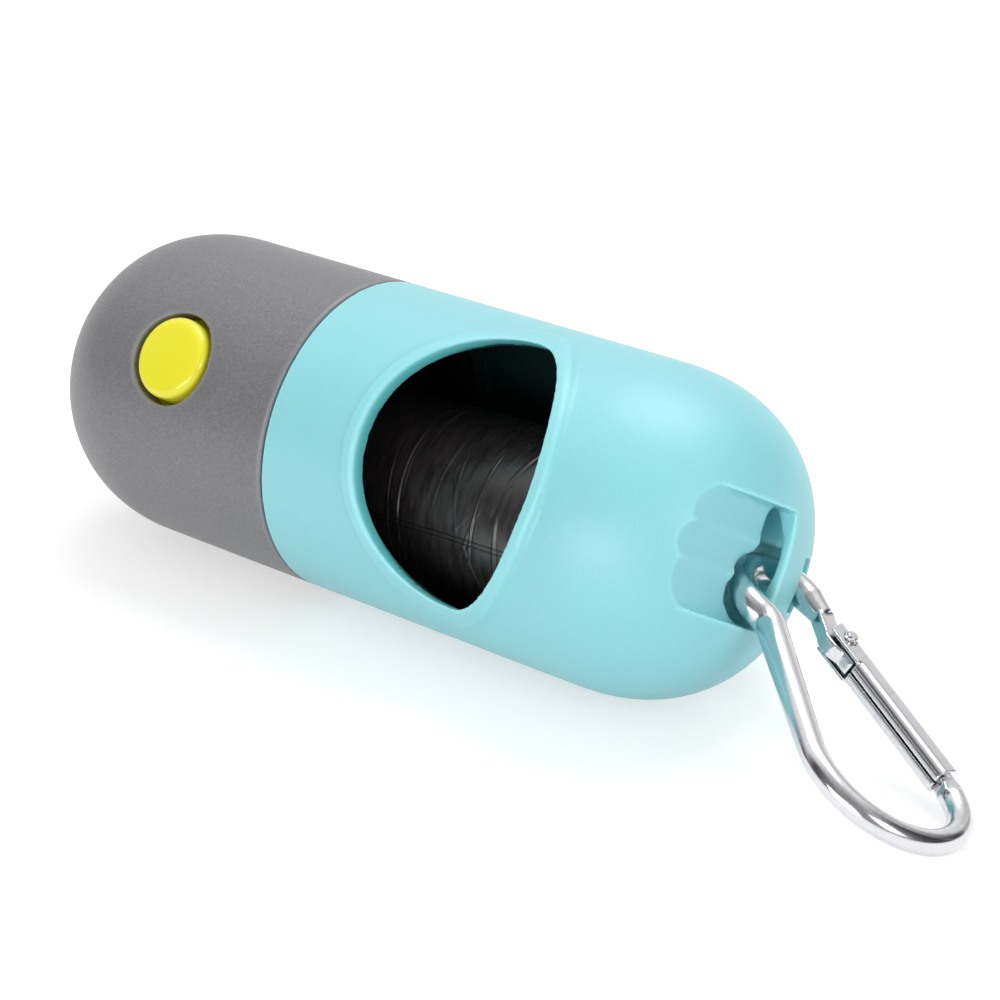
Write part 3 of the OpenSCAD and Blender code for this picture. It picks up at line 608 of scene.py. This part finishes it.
def noise_node(tree, vector, scale, detail=2.0, roughness=0.5, distortion=0.0):
    node = tree.nodes.new("ShaderNodeTexNoise")
    node.inputs["Detail"].default_value = detail
    node.inputs["Roughness"].default_value = roughness
    node.inputs["Distortion"].default_value = distortion
    tree.links.new(vector, node.inputs["Vector"])
    if isinstance(scale, (int, float)):
        node.inputs["Scale"].default_value = scale
    else:
        tree.links.new(scale, node.inputs["Scale"])
    return node.outputs["Fac"]


def map_range(tree, value, low, high, to_low=0.0, to_high=1.0):
    node = tree.nodes.new("ShaderNodeMapRange")
    node.clamp = True
    for name, number in (("From Min", low), ("From Max", high),
                         ("To Min", to_low), ("To Max", to_high)):
        node.inputs[name].default_value = number
    tree.links.new(value, node.inputs["Value"])
    return node.outputs["Result"]


def mix_colour(tree, factor, first, second):
    node = tree.nodes.new("ShaderNodeMix")
    node.data_type = "RGBA"
    for index, value in ((0, factor), (6, first), (7, second)):
        socket = node.inputs[index]
        if isinstance(value, (int, float)):
            socket.default_value = value
        elif isinstance(value, tuple):
            socket.default_value = (*value[:3], 1.0)
        else:
            tree.links.new(value, socket)
    return node.outputs[2]


print("helpers ready")

# %% [markdown]
# Moulded plastic is finely pitted, because the steel mould was blasted with grit. Close up each
# pit catches the light, so the surface looks sprinkled. The group gives that grain as a height
# and as a slight change of colour, with a slow drift in tone under it.

# %% Group: moulded grain
grain_group, g_in, g_out = make_group(
    "Moulded grain",
    [("Vector", "v", None), ("Colour", "c", (0.5, 0.5, 0.5, 1)), ("Fineness", "f", 4200.0),
     ("Speckle", "f", 0.12), ("Drift", "f", 0.04)],
    [("Colour", "c"), ("Height", "f"), ("Roughness shift", "f")])
pits = noise_node(grain_group, g_in.outputs["Vector"], g_in.outputs["Fineness"], 3, 0.65)
slow = noise_node(grain_group, g_in.outputs["Vector"], 55.0, 3, 0.5)
pit_mask = map_range(grain_group, pits, 0.3, 0.7, -1.0, 1.0)
slow_mask = map_range(grain_group, slow, 0.3, 0.7, -1.0, 1.0)
change = math_node(grain_group, "ADD",
                   math_node(grain_group, "MULTIPLY", pit_mask, g_in.outputs["Speckle"]),
                   math_node(grain_group, "MULTIPLY", slow_mask, g_in.outputs["Drift"]))
level = math_node(grain_group, "ADD", change, 1.0)
tint = grain_group.nodes.new("ShaderNodeVectorMath")
tint.operation = "SCALE"
grain_group.links.new(g_in.outputs["Colour"], tint.inputs[0])
grain_group.links.new(level, tint.inputs["Scale"])
grain_group.links.new(tint.outputs[0], g_out.inputs["Colour"])
grain_group.links.new(pits, g_out.inputs["Height"])
grain_group.links.new(math_node(grain_group, "MULTIPLY", slow_mask, 0.03),
                      g_out.inputs["Roughness shift"])
print("group:", grain_group.name, len(grain_group.nodes), "nodes")

# %% [markdown]
# Handled things wear first where they stand out. The pointiness of a surface finds such places
# on a mesh with small faces. The group turns it into a mask for edges, and breaks it up.

# %% Group: worn edges
wear_group, w_in, w_out = make_group(
    "Worn edges", [("Vector", "v", None), ("From", "f", 0.52), ("To", "f", 0.6)],
    [("Mask", "f")])
shape = wear_group.nodes.new("ShaderNodeNewGeometry")
ramp = wear_group.nodes.new("ShaderNodeMapRange")
ramp.clamp = True
wear_group.links.new(shape.outputs["Pointiness"], ramp.inputs["Value"])
wear_group.links.new(w_in.outputs["From"], ramp.inputs["From Min"])
wear_group.links.new(w_in.outputs["To"], ramp.inputs["From Max"])
patchy = noise_node(wear_group, w_in.outputs["Vector"], 700.0, 3, 0.6)
patch_mask = map_range(wear_group, patchy, 0.35, 0.65)
wear_group.links.new(math_node(wear_group, "MULTIPLY", ramp.outputs["Result"], patch_mask),
                     w_out.inputs["Mask"])
print("group:", wear_group.name, len(wear_group.nodes), "nodes")

# %% [markdown]
# Bright metal that rubs on keys and leads is covered in hair-fine scratches. Noise stretched far
# along one direction looks like them, and two such layers at an angle look like use.

# %% Group: fine scratches
scratch_group, s_in, s_out = make_group(
    "Fine scratches", [("Vector", "v", None), ("Fineness", "f", 1500.0), ("Amount", "f", 0.5)],
    [("Mask", "f"), ("Height", "f")])
layers = []
for turn, stretch in ((0.35, (1.0, 0.06, 0.06)), (-0.9, (0.05, 1.0, 0.05))):
    mapping = scratch_group.nodes.new("ShaderNodeMapping")
    mapping.inputs["Rotation"].default_value = (turn * 0.4, turn * 0.7, turn)
    mapping.inputs["Scale"].default_value = stretch
    scratch_group.links.new(s_in.outputs["Vector"], mapping.inputs["Vector"])
    layers.append(noise_node(scratch_group, mapping.outputs[0], s_in.outputs["Fineness"], 2, 0.6))
both = math_node(scratch_group, "MAXIMUM", layers[0], layers[1])
lines = map_range(scratch_group, both, 0.58, 0.72)
scratch_group.links.new(math_node(scratch_group, "MULTIPLY", lines, s_in.outputs["Amount"]),
                        s_out.inputs["Mask"])
scratch_group.links.new(both, s_out.inputs["Height"])

print("group:", scratch_group.name, len(scratch_group.nodes), "nodes")

# %% [markdown]
# Each finish is one material on the Principled shader. This helper makes the material, keeps
# its shader and its coordinates at hand, and places groups, marks and bumps in it. Moulded
# plastics differ only in a few numbers, so they share one function.

# %% Start a finish
def srgb(r, g, b):
    """Turns a colour as a screen shows it into the linear values that shading uses."""
    def line(c):
        return c / 12.92 if c <= 0.04045 else ((c + 0.055) / 1.055) ** 2.4
    return (line(r), line(g), line(b), 1.0)


class Finish:
    def __init__(self, name, colour, roughness, metallic=0.0, coordinates="Object"):
        self.material = bpy.data.materials.new(name)
        self.material.use_nodes = True
        self.tree = self.material.node_tree
        self.shader = self.tree.nodes["Principled BSDF"]
        self.shader.inputs["Base Color"].default_value = colour
        self.shader.inputs["Roughness"].default_value = roughness
        self.shader.inputs["Metallic"].default_value = metallic
        place = self.tree.nodes.new("ShaderNodeTexCoord")
        self.vector = place.outputs[coordinates]

    def group(self, group, **values):
        node = self.tree.nodes.new("ShaderNodeGroup")
        node.node_tree = group
        self.tree.links.new(self.vector, node.inputs["Vector"])
        for name, value in values.items():
            socket = node.inputs[name]
            if isinstance(value, (int, float, tuple)):
                socket.default_value = value
            else:
                self.tree.links.new(value, socket)
        return node.outputs

    def mark(self, name):
        """The value of a mark that the mesh carries."""
        node = self.tree.nodes.new("ShaderNodeAttribute")
        node.attribute_name = name
        return node.outputs["Fac"]

    def bump(self, height, depth, strength=1.0):
        node = self.tree.nodes.new("ShaderNodeBump")
        node.inputs["Distance"].default_value = depth
        node.inputs["Strength"].default_value = strength
        self.tree.links.new(height, node.inputs["Height"])
        return node.outputs["Normal"]

    def feed(self, **sockets):
        for name, value in sockets.items():
            socket = self.shader.inputs[name.replace("_", " ")]
            if isinstance(value, (int, float, tuple)):
                socket.default_value = value
            else:
                self.tree.links.new(value, socket)
        return self


def plastic(name, colour, roughness, fineness=4200.0, speckle=0.1, depth=0.012 * MM,
            drift=0.03, edge=0.0, inside=None):
    """Moulded plastic with blasted grain. inside is (painted shade colour of the window's wall,
    painted shade colour of the inner faces). edge is the share of painted highlight on outer
    edges.
    """
    finish = Finish(name, colour, roughness)
    grain = finish.group(grain_group, Colour=colour, Fineness=fineness, Speckle=speckle,
                         Drift=drift)
    shade = grain["Colour"]
    # painted shade: the window's wall is painted a deeper turquoise
    if inside is not None:
        wall_shade_colour, inside_shade_colour = inside
        mark = finish.mark("Inside")
        shade = mix_colour(finish.tree, map_range(finish.tree, mark, 0.0, 0.5),
                           shade, wall_shade_colour[:3])
    # painted highlight: outer edges are painted paler
    if edge:
        painted_edge_highlight = tuple(min(1.0, c * 1.25 + 0.03) for c in colour[:3])
        share = math_node(finish.tree, "MULTIPLY", finish.mark("Painted_edge_highlight"), edge)
        shade = mix_colour(finish.tree, share, shade, painted_edge_highlight)
    # painted shade: the inner faces are painted nearly black
    if inside is not None:
        shade = mix_colour(finish.tree, map_range(finish.tree, mark, 0.5, 1.0),
                           shade, inside_shade_colour[:3])
    rough = math_node(finish.tree, "ADD", grain["Roughness shift"], roughness, clamp=True)
    finish.feed(Base_Color=shade, Roughness=rough,
                Normal=finish.bump(grain["Height"], depth))
    return finish


# %% [markdown]
# The two shells are satin: no clear reflection, but a soft sheen towards the lamps. The grey
# one shows its grain more, because pale pits stand out on a mid grey. The button is polished.

# %% Plastics
# The teal carries painted shade on its window's wall and inside, and a painted highlight on its
# outer edges.
teal = plastic("Teal satin plastic", srgb(0.575, 0.865, 0.89), 0.42, speckle=0.03,
               depth=0.010 * MM, drift=0.012, edge=0.8,
               inside=(srgb(0.40, 0.84, 0.85), srgb(0.11, 0.22, 0.23)))
teal.feed(Specular_IOR_Level=0.85)
teal.feed(Subsurface_Weight=0.4, Subsurface_Scale=3 * MM, Subsurface_Radius=(0.6, 1.0, 1.0))
# The grey carries a painted highlight on its outer edges.
grey = plastic("Grey satin plastic", srgb(0.455, 0.455, 0.465), 0.42, speckle=0.25,
               fineness=3200.0, depth=0.025 * MM, drift=0.03, edge=0.8)
grey.feed(Specular_IOR_Level=0.85)
yellow = plastic("Yellow glossy plastic", srgb(0.955, 0.925, 0.20), 0.2, speckle=0.015,
                 depth=0.002 * MM, drift=0.01)
yellow.feed(Coat_Weight=0.3, Coat_Roughness=0.08)
black_plastic = plastic("Black moulded plastic", srgb(0.13, 0.13, 0.14), 0.42, speckle=0.1)
white_plastic = plastic("White moulded plastic", srgb(0.88, 0.88, 0.86), 0.4, speckle=0.02)
rubber = plastic("Black rubber", srgb(0.09, 0.09, 0.09), 0.68, fineness=2600.0, speckle=0.06)
red_wire = plastic("Red insulation", srgb(0.72, 0.07, 0.06), 0.34, speckle=0.02)
black_wire = plastic("Black insulation", srgb(0.06, 0.06, 0.065), 0.34, speckle=0.03)
moulded = (teal, grey, yellow, black_plastic, white_plastic, rubber, red_wire, black_wire)
print("plastics:", [finish.material.name for finish in moulded])

# %% [markdown]
# Thin black film has a soft gloss, broken into streaks that run round the roll where the
# machine pulled it tight. Its map has one direction round the roll and the other along it, so
# noise that is squeezed along the roll and stretched round it gives those streaks. Two thin
# lines along the roll are where the machine welded the bags' edges.

# %% Film and card
SEAL_LINES = (-24.3 * MM, -23.6 * MM)
black_film = Finish("Black bag film", srgb(0.13, 0.12, 0.12), 0.34, coordinates="UV")
stretch = black_film.tree.nodes.new("ShaderNodeMapping")
stretch.inputs["Scale"].default_value = (0.16, 1.0, 1.0)
black_film.tree.links.new(black_film.vector, stretch.inputs["Vector"])
streaks = noise_node(black_film.tree, stretch.outputs[0], 1300.0, 4, 0.62, 0.3)
blotches = noise_node(black_film.tree, black_film.vector, 240.0, 3, 0.55)
film_shade = mix_colour(black_film.tree, map_range(black_film.tree, streaks, 0.35, 0.7),
                        srgb(0.12, 0.11, 0.11), srgb(0.22, 0.20, 0.195))
split_uv = black_film.tree.nodes.new("ShaderNodeSeparateXYZ")
black_film.tree.links.new(black_film.vector, split_uv.inputs[0])
seals = []
for seal_at in SEAL_LINES:
    off = math_node(black_film.tree, "SUBTRACT", split_uv.outputs["X"], seal_at)
    off = math_node(black_film.tree, "ABSOLUTE", off)
    seals.append(map_range(black_film.tree, off, 0.05 * MM, 0.16 * MM, 1.0, 0.0))
seal_mask = math_node(black_film.tree, "MAXIMUM", *seals)
film_shade = mix_colour(black_film.tree, math_node(black_film.tree, "MULTIPLY", seal_mask, 0.6),
                        film_shade, srgb(0.05, 0.05, 0.05)[:3])
film_rough = math_node(black_film.tree, "ADD",
                       map_range(black_film.tree, streaks, 0.3, 0.7, 0.27, 0.36),
                       map_range(black_film.tree, blotches, 0.3, 0.7, -0.03, 0.05))
film_bump = black_film.bump(math_node(black_film.tree, "SUBTRACT", 1.0, seal_mask), 0.05 * MM)
black_film.feed(Base_Color=film_shade, Roughness=film_rough, Normal=film_bump,
                Specular_IOR_Level=1.0)

card = Finish("Wound card", srgb(0.66, 0.53, 0.38), 0.85)
fibres = noise_node(card.tree, card.vector, 2400.0, 4, 0.7, 0.6)
card.feed(Base_Color=mix_colour(card.tree, map_range(card.tree, fibres, 0.3, 0.7),
                                srgb(0.60, 0.47, 0.33), srgb(0.73, 0.60, 0.44)),
          Normal=card.bump(fibres, 0.03 * MM))
print("film finish", len(black_film.tree.nodes), "nodes, with", len(SEAL_LINES), "welds")

# %% [markdown]
# Polished aluminium is bright. Scratches show as thin lines that are rougher than the polish. The
# steel, nickel and gold parts share the same make-up.

# %% Metals and glass
def metal(name, colour, roughness, scratches=0.4, rough_by=0.18, fineness=1500.0,
          grain_depth=0.002 * MM):
    finish = Finish(name, colour, roughness, metallic=1.0)
    lines = finish.group(scratch_group, Fineness=fineness, Amount=scratches)
    wear = finish.group(wear_group)
    cloudy = noise_node(finish.tree, finish.vector, 260.0, 3, 0.5)
    duller = tuple(c * 0.82 for c in colour[:3])
    shade = mix_colour(finish.tree, lines["Mask"], colour[:3], duller)
    rough = math_node(finish.tree, "ADD", roughness,
                      math_node(finish.tree, "MULTIPLY", lines["Mask"], rough_by))
    rough = math_node(finish.tree, "ADD", rough,
                      map_range(finish.tree, cloudy, 0.3, 0.7, -0.02, 0.05), clamp=True)
    rough = math_node(finish.tree, "ADD", rough,
                      math_node(finish.tree, "MULTIPLY", wear["Mask"], 0.06), clamp=True)
    finish.feed(Base_Color=shade, Roughness=rough,
                Normal=finish.bump(lines["Height"], grain_depth))
    return finish


aluminium = metal("Polished aluminium", srgb(0.86, 0.86, 0.87), 0.15)
steel = metal("Zinc plated steel", srgb(0.72, 0.72, 0.74), 0.26, fineness=2500.0)
nickel = metal("Nickel plate", srgb(0.80, 0.79, 0.77), 0.2, fineness=2200.0)
gold = metal("Gold plated contact", srgb(0.93, 0.76, 0.42), 0.22, fineness=2600.0)
mirror_coat = metal("Coated reflector", srgb(0.94, 0.94, 0.95), 0.06, scratches=0.1,
                    rough_by=0.05, grain_depth=0.0006 * MM)

lens_glass = Finish("Clear lens", (0.97, 0.985, 0.99, 1.0), 0.03)
lens_glass.feed(Transmission_Weight=1.0, IOR=1.49)
lens_swirl = noise_node(lens_glass.tree, lens_glass.vector, 120.0, 2, 0.5)
lens_glass.feed(Normal=lens_glass.bump(lens_swirl, 0.004 * MM, 0.4))
metals = (aluminium, steel, nickel, gold, mirror_coat)
print("metals:", [finish.material.name for finish in metals])

# %% [markdown]
# The boards are glass fibre under a coloured mask, with copper tracks that show through it as a
# paler pattern. Straight tracks come from a brick pattern with wide joints, cut up by noise.

# %% Boards and LED
def board(name, mask_colour, track_colour, roughness):
    finish = Finish(name, mask_colour, roughness)
    bricks = finish.tree.nodes.new("ShaderNodeTexBrick")
    finish.tree.links.new(finish.vector, bricks.inputs["Vector"])
    bricks.inputs["Scale"].default_value = 260.0
    bricks.inputs["Mortar Size"].default_value = 0.05
    bricks.inputs["Mortar Smooth"].default_value = 0.2
    cut = noise_node(finish.tree, finish.vector, 420.0, 1, 0.5)
    tracks = math_node(finish.tree, "MULTIPLY", bricks.outputs["Fac"],
                       map_range(finish.tree, cut, 0.45, 0.5))
    weave = noise_node(finish.tree, finish.vector, 3000.0, 3, 0.6)
    shade = mix_colour(finish.tree, tracks, mask_colour[:3], track_colour[:3])
    rough = map_range(finish.tree, weave, 0.3, 0.7, roughness - 0.05, roughness + 0.07)
    finish.feed(Base_Color=shade, Roughness=rough, Normal=finish.bump(tracks, 0.02 * MM))
    return finish


green_board = board("Green board", srgb(0.06, 0.36, 0.18), srgb(0.22, 0.52, 0.25), 0.3)
white_board = board("White board", srgb(0.90, 0.90, 0.88), srgb(0.80, 0.80, 0.78), 0.35)

phosphor = Finish("LED phosphor", srgb(0.95, 0.83, 0.30), 0.22)
crumbs = noise_node(phosphor.tree, phosphor.vector, 5200.0, 2, 0.6)
phosphor.feed(Base_Color=mix_colour(phosphor.tree, map_range(phosphor.tree, crumbs, 0.35, 0.65),
                                    srgb(0.93, 0.79, 0.25), srgb(0.98, 0.90, 0.45)),
              Normal=phosphor.bump(crumbs, 0.01 * MM), Coat_Weight=0.6, Coat_Roughness=0.05)
print("boards:", [finish.material.name for finish in (green_board, white_board)])

# %% [markdown]
# The finishes go onto the pieces and onto the solids that are shown as they are.

# %% Give every piece its finish
finish_of = {
    "teal_plastic": teal, "grey_plastic": grey, "yellow_plastic": yellow,
    "black_film": black_film, "card": card, "black_rubber": rubber,
    "black_plastic": black_plastic, "white_plastic": white_plastic,
    "green_board": green_board, "white_board": white_board, "led_yellow": phosphor,
    "mirror_coat": mirror_coat, "clear_lens": lens_glass, "nickel": nickel,
    "gold_contact": gold, "red_insulation": red_wire, "black_insulation": black_wire,
    "steel": steel, "aluminium": aluminium}
for entry in frame["record"]["subparts"]:
    solid = nodes[entry["node"]]
    solid.data.materials.clear()
    solid.data.materials.append(finish_of[entry["material_slot"]].material)
new_pieces = [housing, torch, base, clip_rod, clip_gate, clip_rivet, button, film]
for piece in new_pieces:
    piece.data.materials.clear()
    piece.data.materials.append(finish_of[piece["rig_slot"]].material)
print(len(finish_of), "finishes on", len(nodes) + len(new_pieces), "pieces")

# %% [markdown]
# The photograph is a product shot on white. A large pale floor reaches out of view, and its
# own colour is lifted to white for the camera and for reflections, so the lamps needn't be
# bright. The object's shadow stays on it.

# %% Floor
FLOOR_HALF_WIDTH = 3.0
FLOOR_GAP = 0.02 * MM
FLOOR_TONE = (0.65, 0.65, 0.65, 1.0)
FLOOR_LIFT = 0.54
bm = bmesh.new()
bmesh.ops.create_grid(bm, x_segments=2, y_segments=2, size=FLOOR_HALF_WIDTH)
floor = add_piece("floor", bm)
floor.location = (0, 0, -FLOOR_GAP)
floor_finish = Finish("White floor", FLOOR_TONE, 0.9)
tree = floor_finish.tree
rays = tree.nodes.new("ShaderNodeLightPath")
seen = math_node(tree, "MAXIMUM", rays.outputs["Is Camera Ray"],
                 math_node(tree, "MAXIMUM", rays.outputs["Is Glossy Ray"],
                           rays.outputs["Is Transmission Ray"]))
floor_finish.feed(Emission_Color=(1.0, 1.0, 1.0, 1.0), Specular_IOR_Level=0.0)
tree.links.new(math_node(tree, "MULTIPLY", seen, FLOOR_LIFT),
               floor_finish.shader.inputs["Emission Strength"])
floor.data.materials.append(floor_finish.material)
print("floor", 2 * FLOOR_HALF_WIDTH, "m across")

# %% [markdown]
# The light is soft and even. The world gives most of it. Its glossy part has a grey band low
# round the sides, as the walls of a studio have, because polished metal that reflects only
# white looks like paper. The side of the camera is darker too: in the photograph the surfaces
# that face the camera squarely are the darker ones. Two dark cards stand to the right and to
# the left, and only gloss sees them. They give the round rod of the carabiner its dark streaks.

# %% World and lamps
CAMERA_SIDE = (0.60, -0.68, 0.42)
DARK_CARDS = ((0.80, 0.45, 0.35), (-0.35, -0.75, 0.50))
WHITE = (1.0, 1.0, 1.0)
WALL_TONE = (0.05, 0.05, 0.053)
CARD_TONE = (0.06, 0.06, 0.065)
CAMERA_SIDE_GLOSS = (0.30, 0.30, 0.31)
SOFT_LIGHT = (0.66, 0.66, 0.67)
CAMERA_SIDE_LIGHT = (0.50, 0.50, 0.505)
world = bpy.data.worlds.new("Studio")
scene.world = world
world.use_nodes = True
tree = world.node_tree
back = tree.nodes["Background"]
place = tree.nodes.new("ShaderNodeTexCoord")
split = tree.nodes.new("ShaderNodeSeparateXYZ")
tree.links.new(place.outputs["Generated"], split.inputs[0])
rays = tree.nodes.new("ShaderNodeLightPath")
bands = map_range(tree, split.outputs["Z"], 0.2, 0.7, 1.0, 0.0)
wobble = noise_node(tree, place.outputs["Generated"], 2.6, 1, 0.5)
walls = math_node(tree, "MULTIPLY", bands, map_range(tree, wobble, 0.34, 0.48))
glossy_tone = mix_colour(tree, walls, WHITE, WALL_TONE)


def facing(direction):
    """How squarely a direction of the world lies towards the given one."""
    node = tree.nodes.new("ShaderNodeVectorMath")
    node.operation = "DOT_PRODUCT"
    tree.links.new(place.outputs["Generated"], node.inputs[0])
    node.inputs[1].default_value = Vector(direction).normalized()
    return node.outputs["Value"]


for card_side in DARK_CARDS:
    card_mask = map_range(tree, facing(card_side), 0.80, 0.94)
    glossy_tone = mix_colour(tree, card_mask, glossy_tone, CARD_TONE)
dark_side = map_range(tree, facing(CAMERA_SIDE), 0.25, 0.9)
glossy_tone = mix_colour(tree, dark_side, glossy_tone, CAMERA_SIDE_GLOSS)
far_side = map_range(tree, facing(CAMERA_SIDE), -0.35, -0.7)
glossy_tone = mix_colour(tree, far_side, glossy_tone, WHITE)
diffuse_tone = mix_colour(tree, dark_side, SOFT_LIGHT, CAMERA_SIDE_LIGHT)
plain_tone = mix_colour(tree, rays.outputs["Is Glossy Ray"], diffuse_tone, glossy_tone)
tone = mix_colour(tree, rays.outputs["Is Camera Ray"], plain_tone, WHITE)
tree.links.new(tone, back.inputs["Color"])
back.inputs["Strength"].default_value = 1.0


def soft_lamp(name, place, aim, size, power):
    lamp = bpy.data.lights.new(name, "AREA")
    lamp.shape = "RECTANGLE"
    lamp.size, lamp.size_y = size
    lamp.energy = power
    item = bpy.data.objects.new(name, lamp)
    item.location = place
    item.rotation_euler = (Vector(aim) - Vector(place)).to_track_quat("-Z", "Y").to_euler()
    scene.collection.objects.link(item)
    print(name, power, "W")


soft_lamp("Overhead softbox", (-0.05, 0.25, 0.72), (0.0, 0.0, 0.02), (0.55, 0.4), 2.1)
soft_lamp("Low front fill", (0.05, -0.80, 0.16), (0.0, 0.0, 0.02), (0.6, 0.28), 2.1)
soft_lamp("Right fill", (0.85, -0.25, 0.38), (0.03, 0.0, 0.02), (0.4, 0.4), 1.8)

# %% [markdown]
# The camera stands where the photograph's own perspective puts it: to the front right and
# above, with a long lens. The photograph is square, and the capsule is nearly as long as it.

# %% Camera
LENS = 93.88
CAMERA_PLACE = Vector((224.89, -253.75, 151.49))
CAMERA_DOWN = 25.526
CAMERA_TURN = 38.382
camera_data = bpy.data.cameras.new("Camera")
camera_data.lens = LENS
camera_data.sensor_width = 36.0
camera_data.clip_start = 0.01
camera_data.clip_end = 20.0
camera = bpy.data.objects.new("Camera", camera_data)
camera.location = SEAM + CAMERA_PLACE * MM
camera.rotation_euler = (math.radians(90 - CAMERA_DOWN), 0.0, math.radians(CAMERA_TURN))
scene.collection.objects.link(camera)
scene.camera = camera
scene.view_settings.view_transform = "Standard"
print("camera", round((camera.location - SEAM).length, 3), "m from the seam")

# %% [markdown]
# The scene is brought up to date at the end.

# %% Bring the scene up to date
bpy.context.view_layer.update()
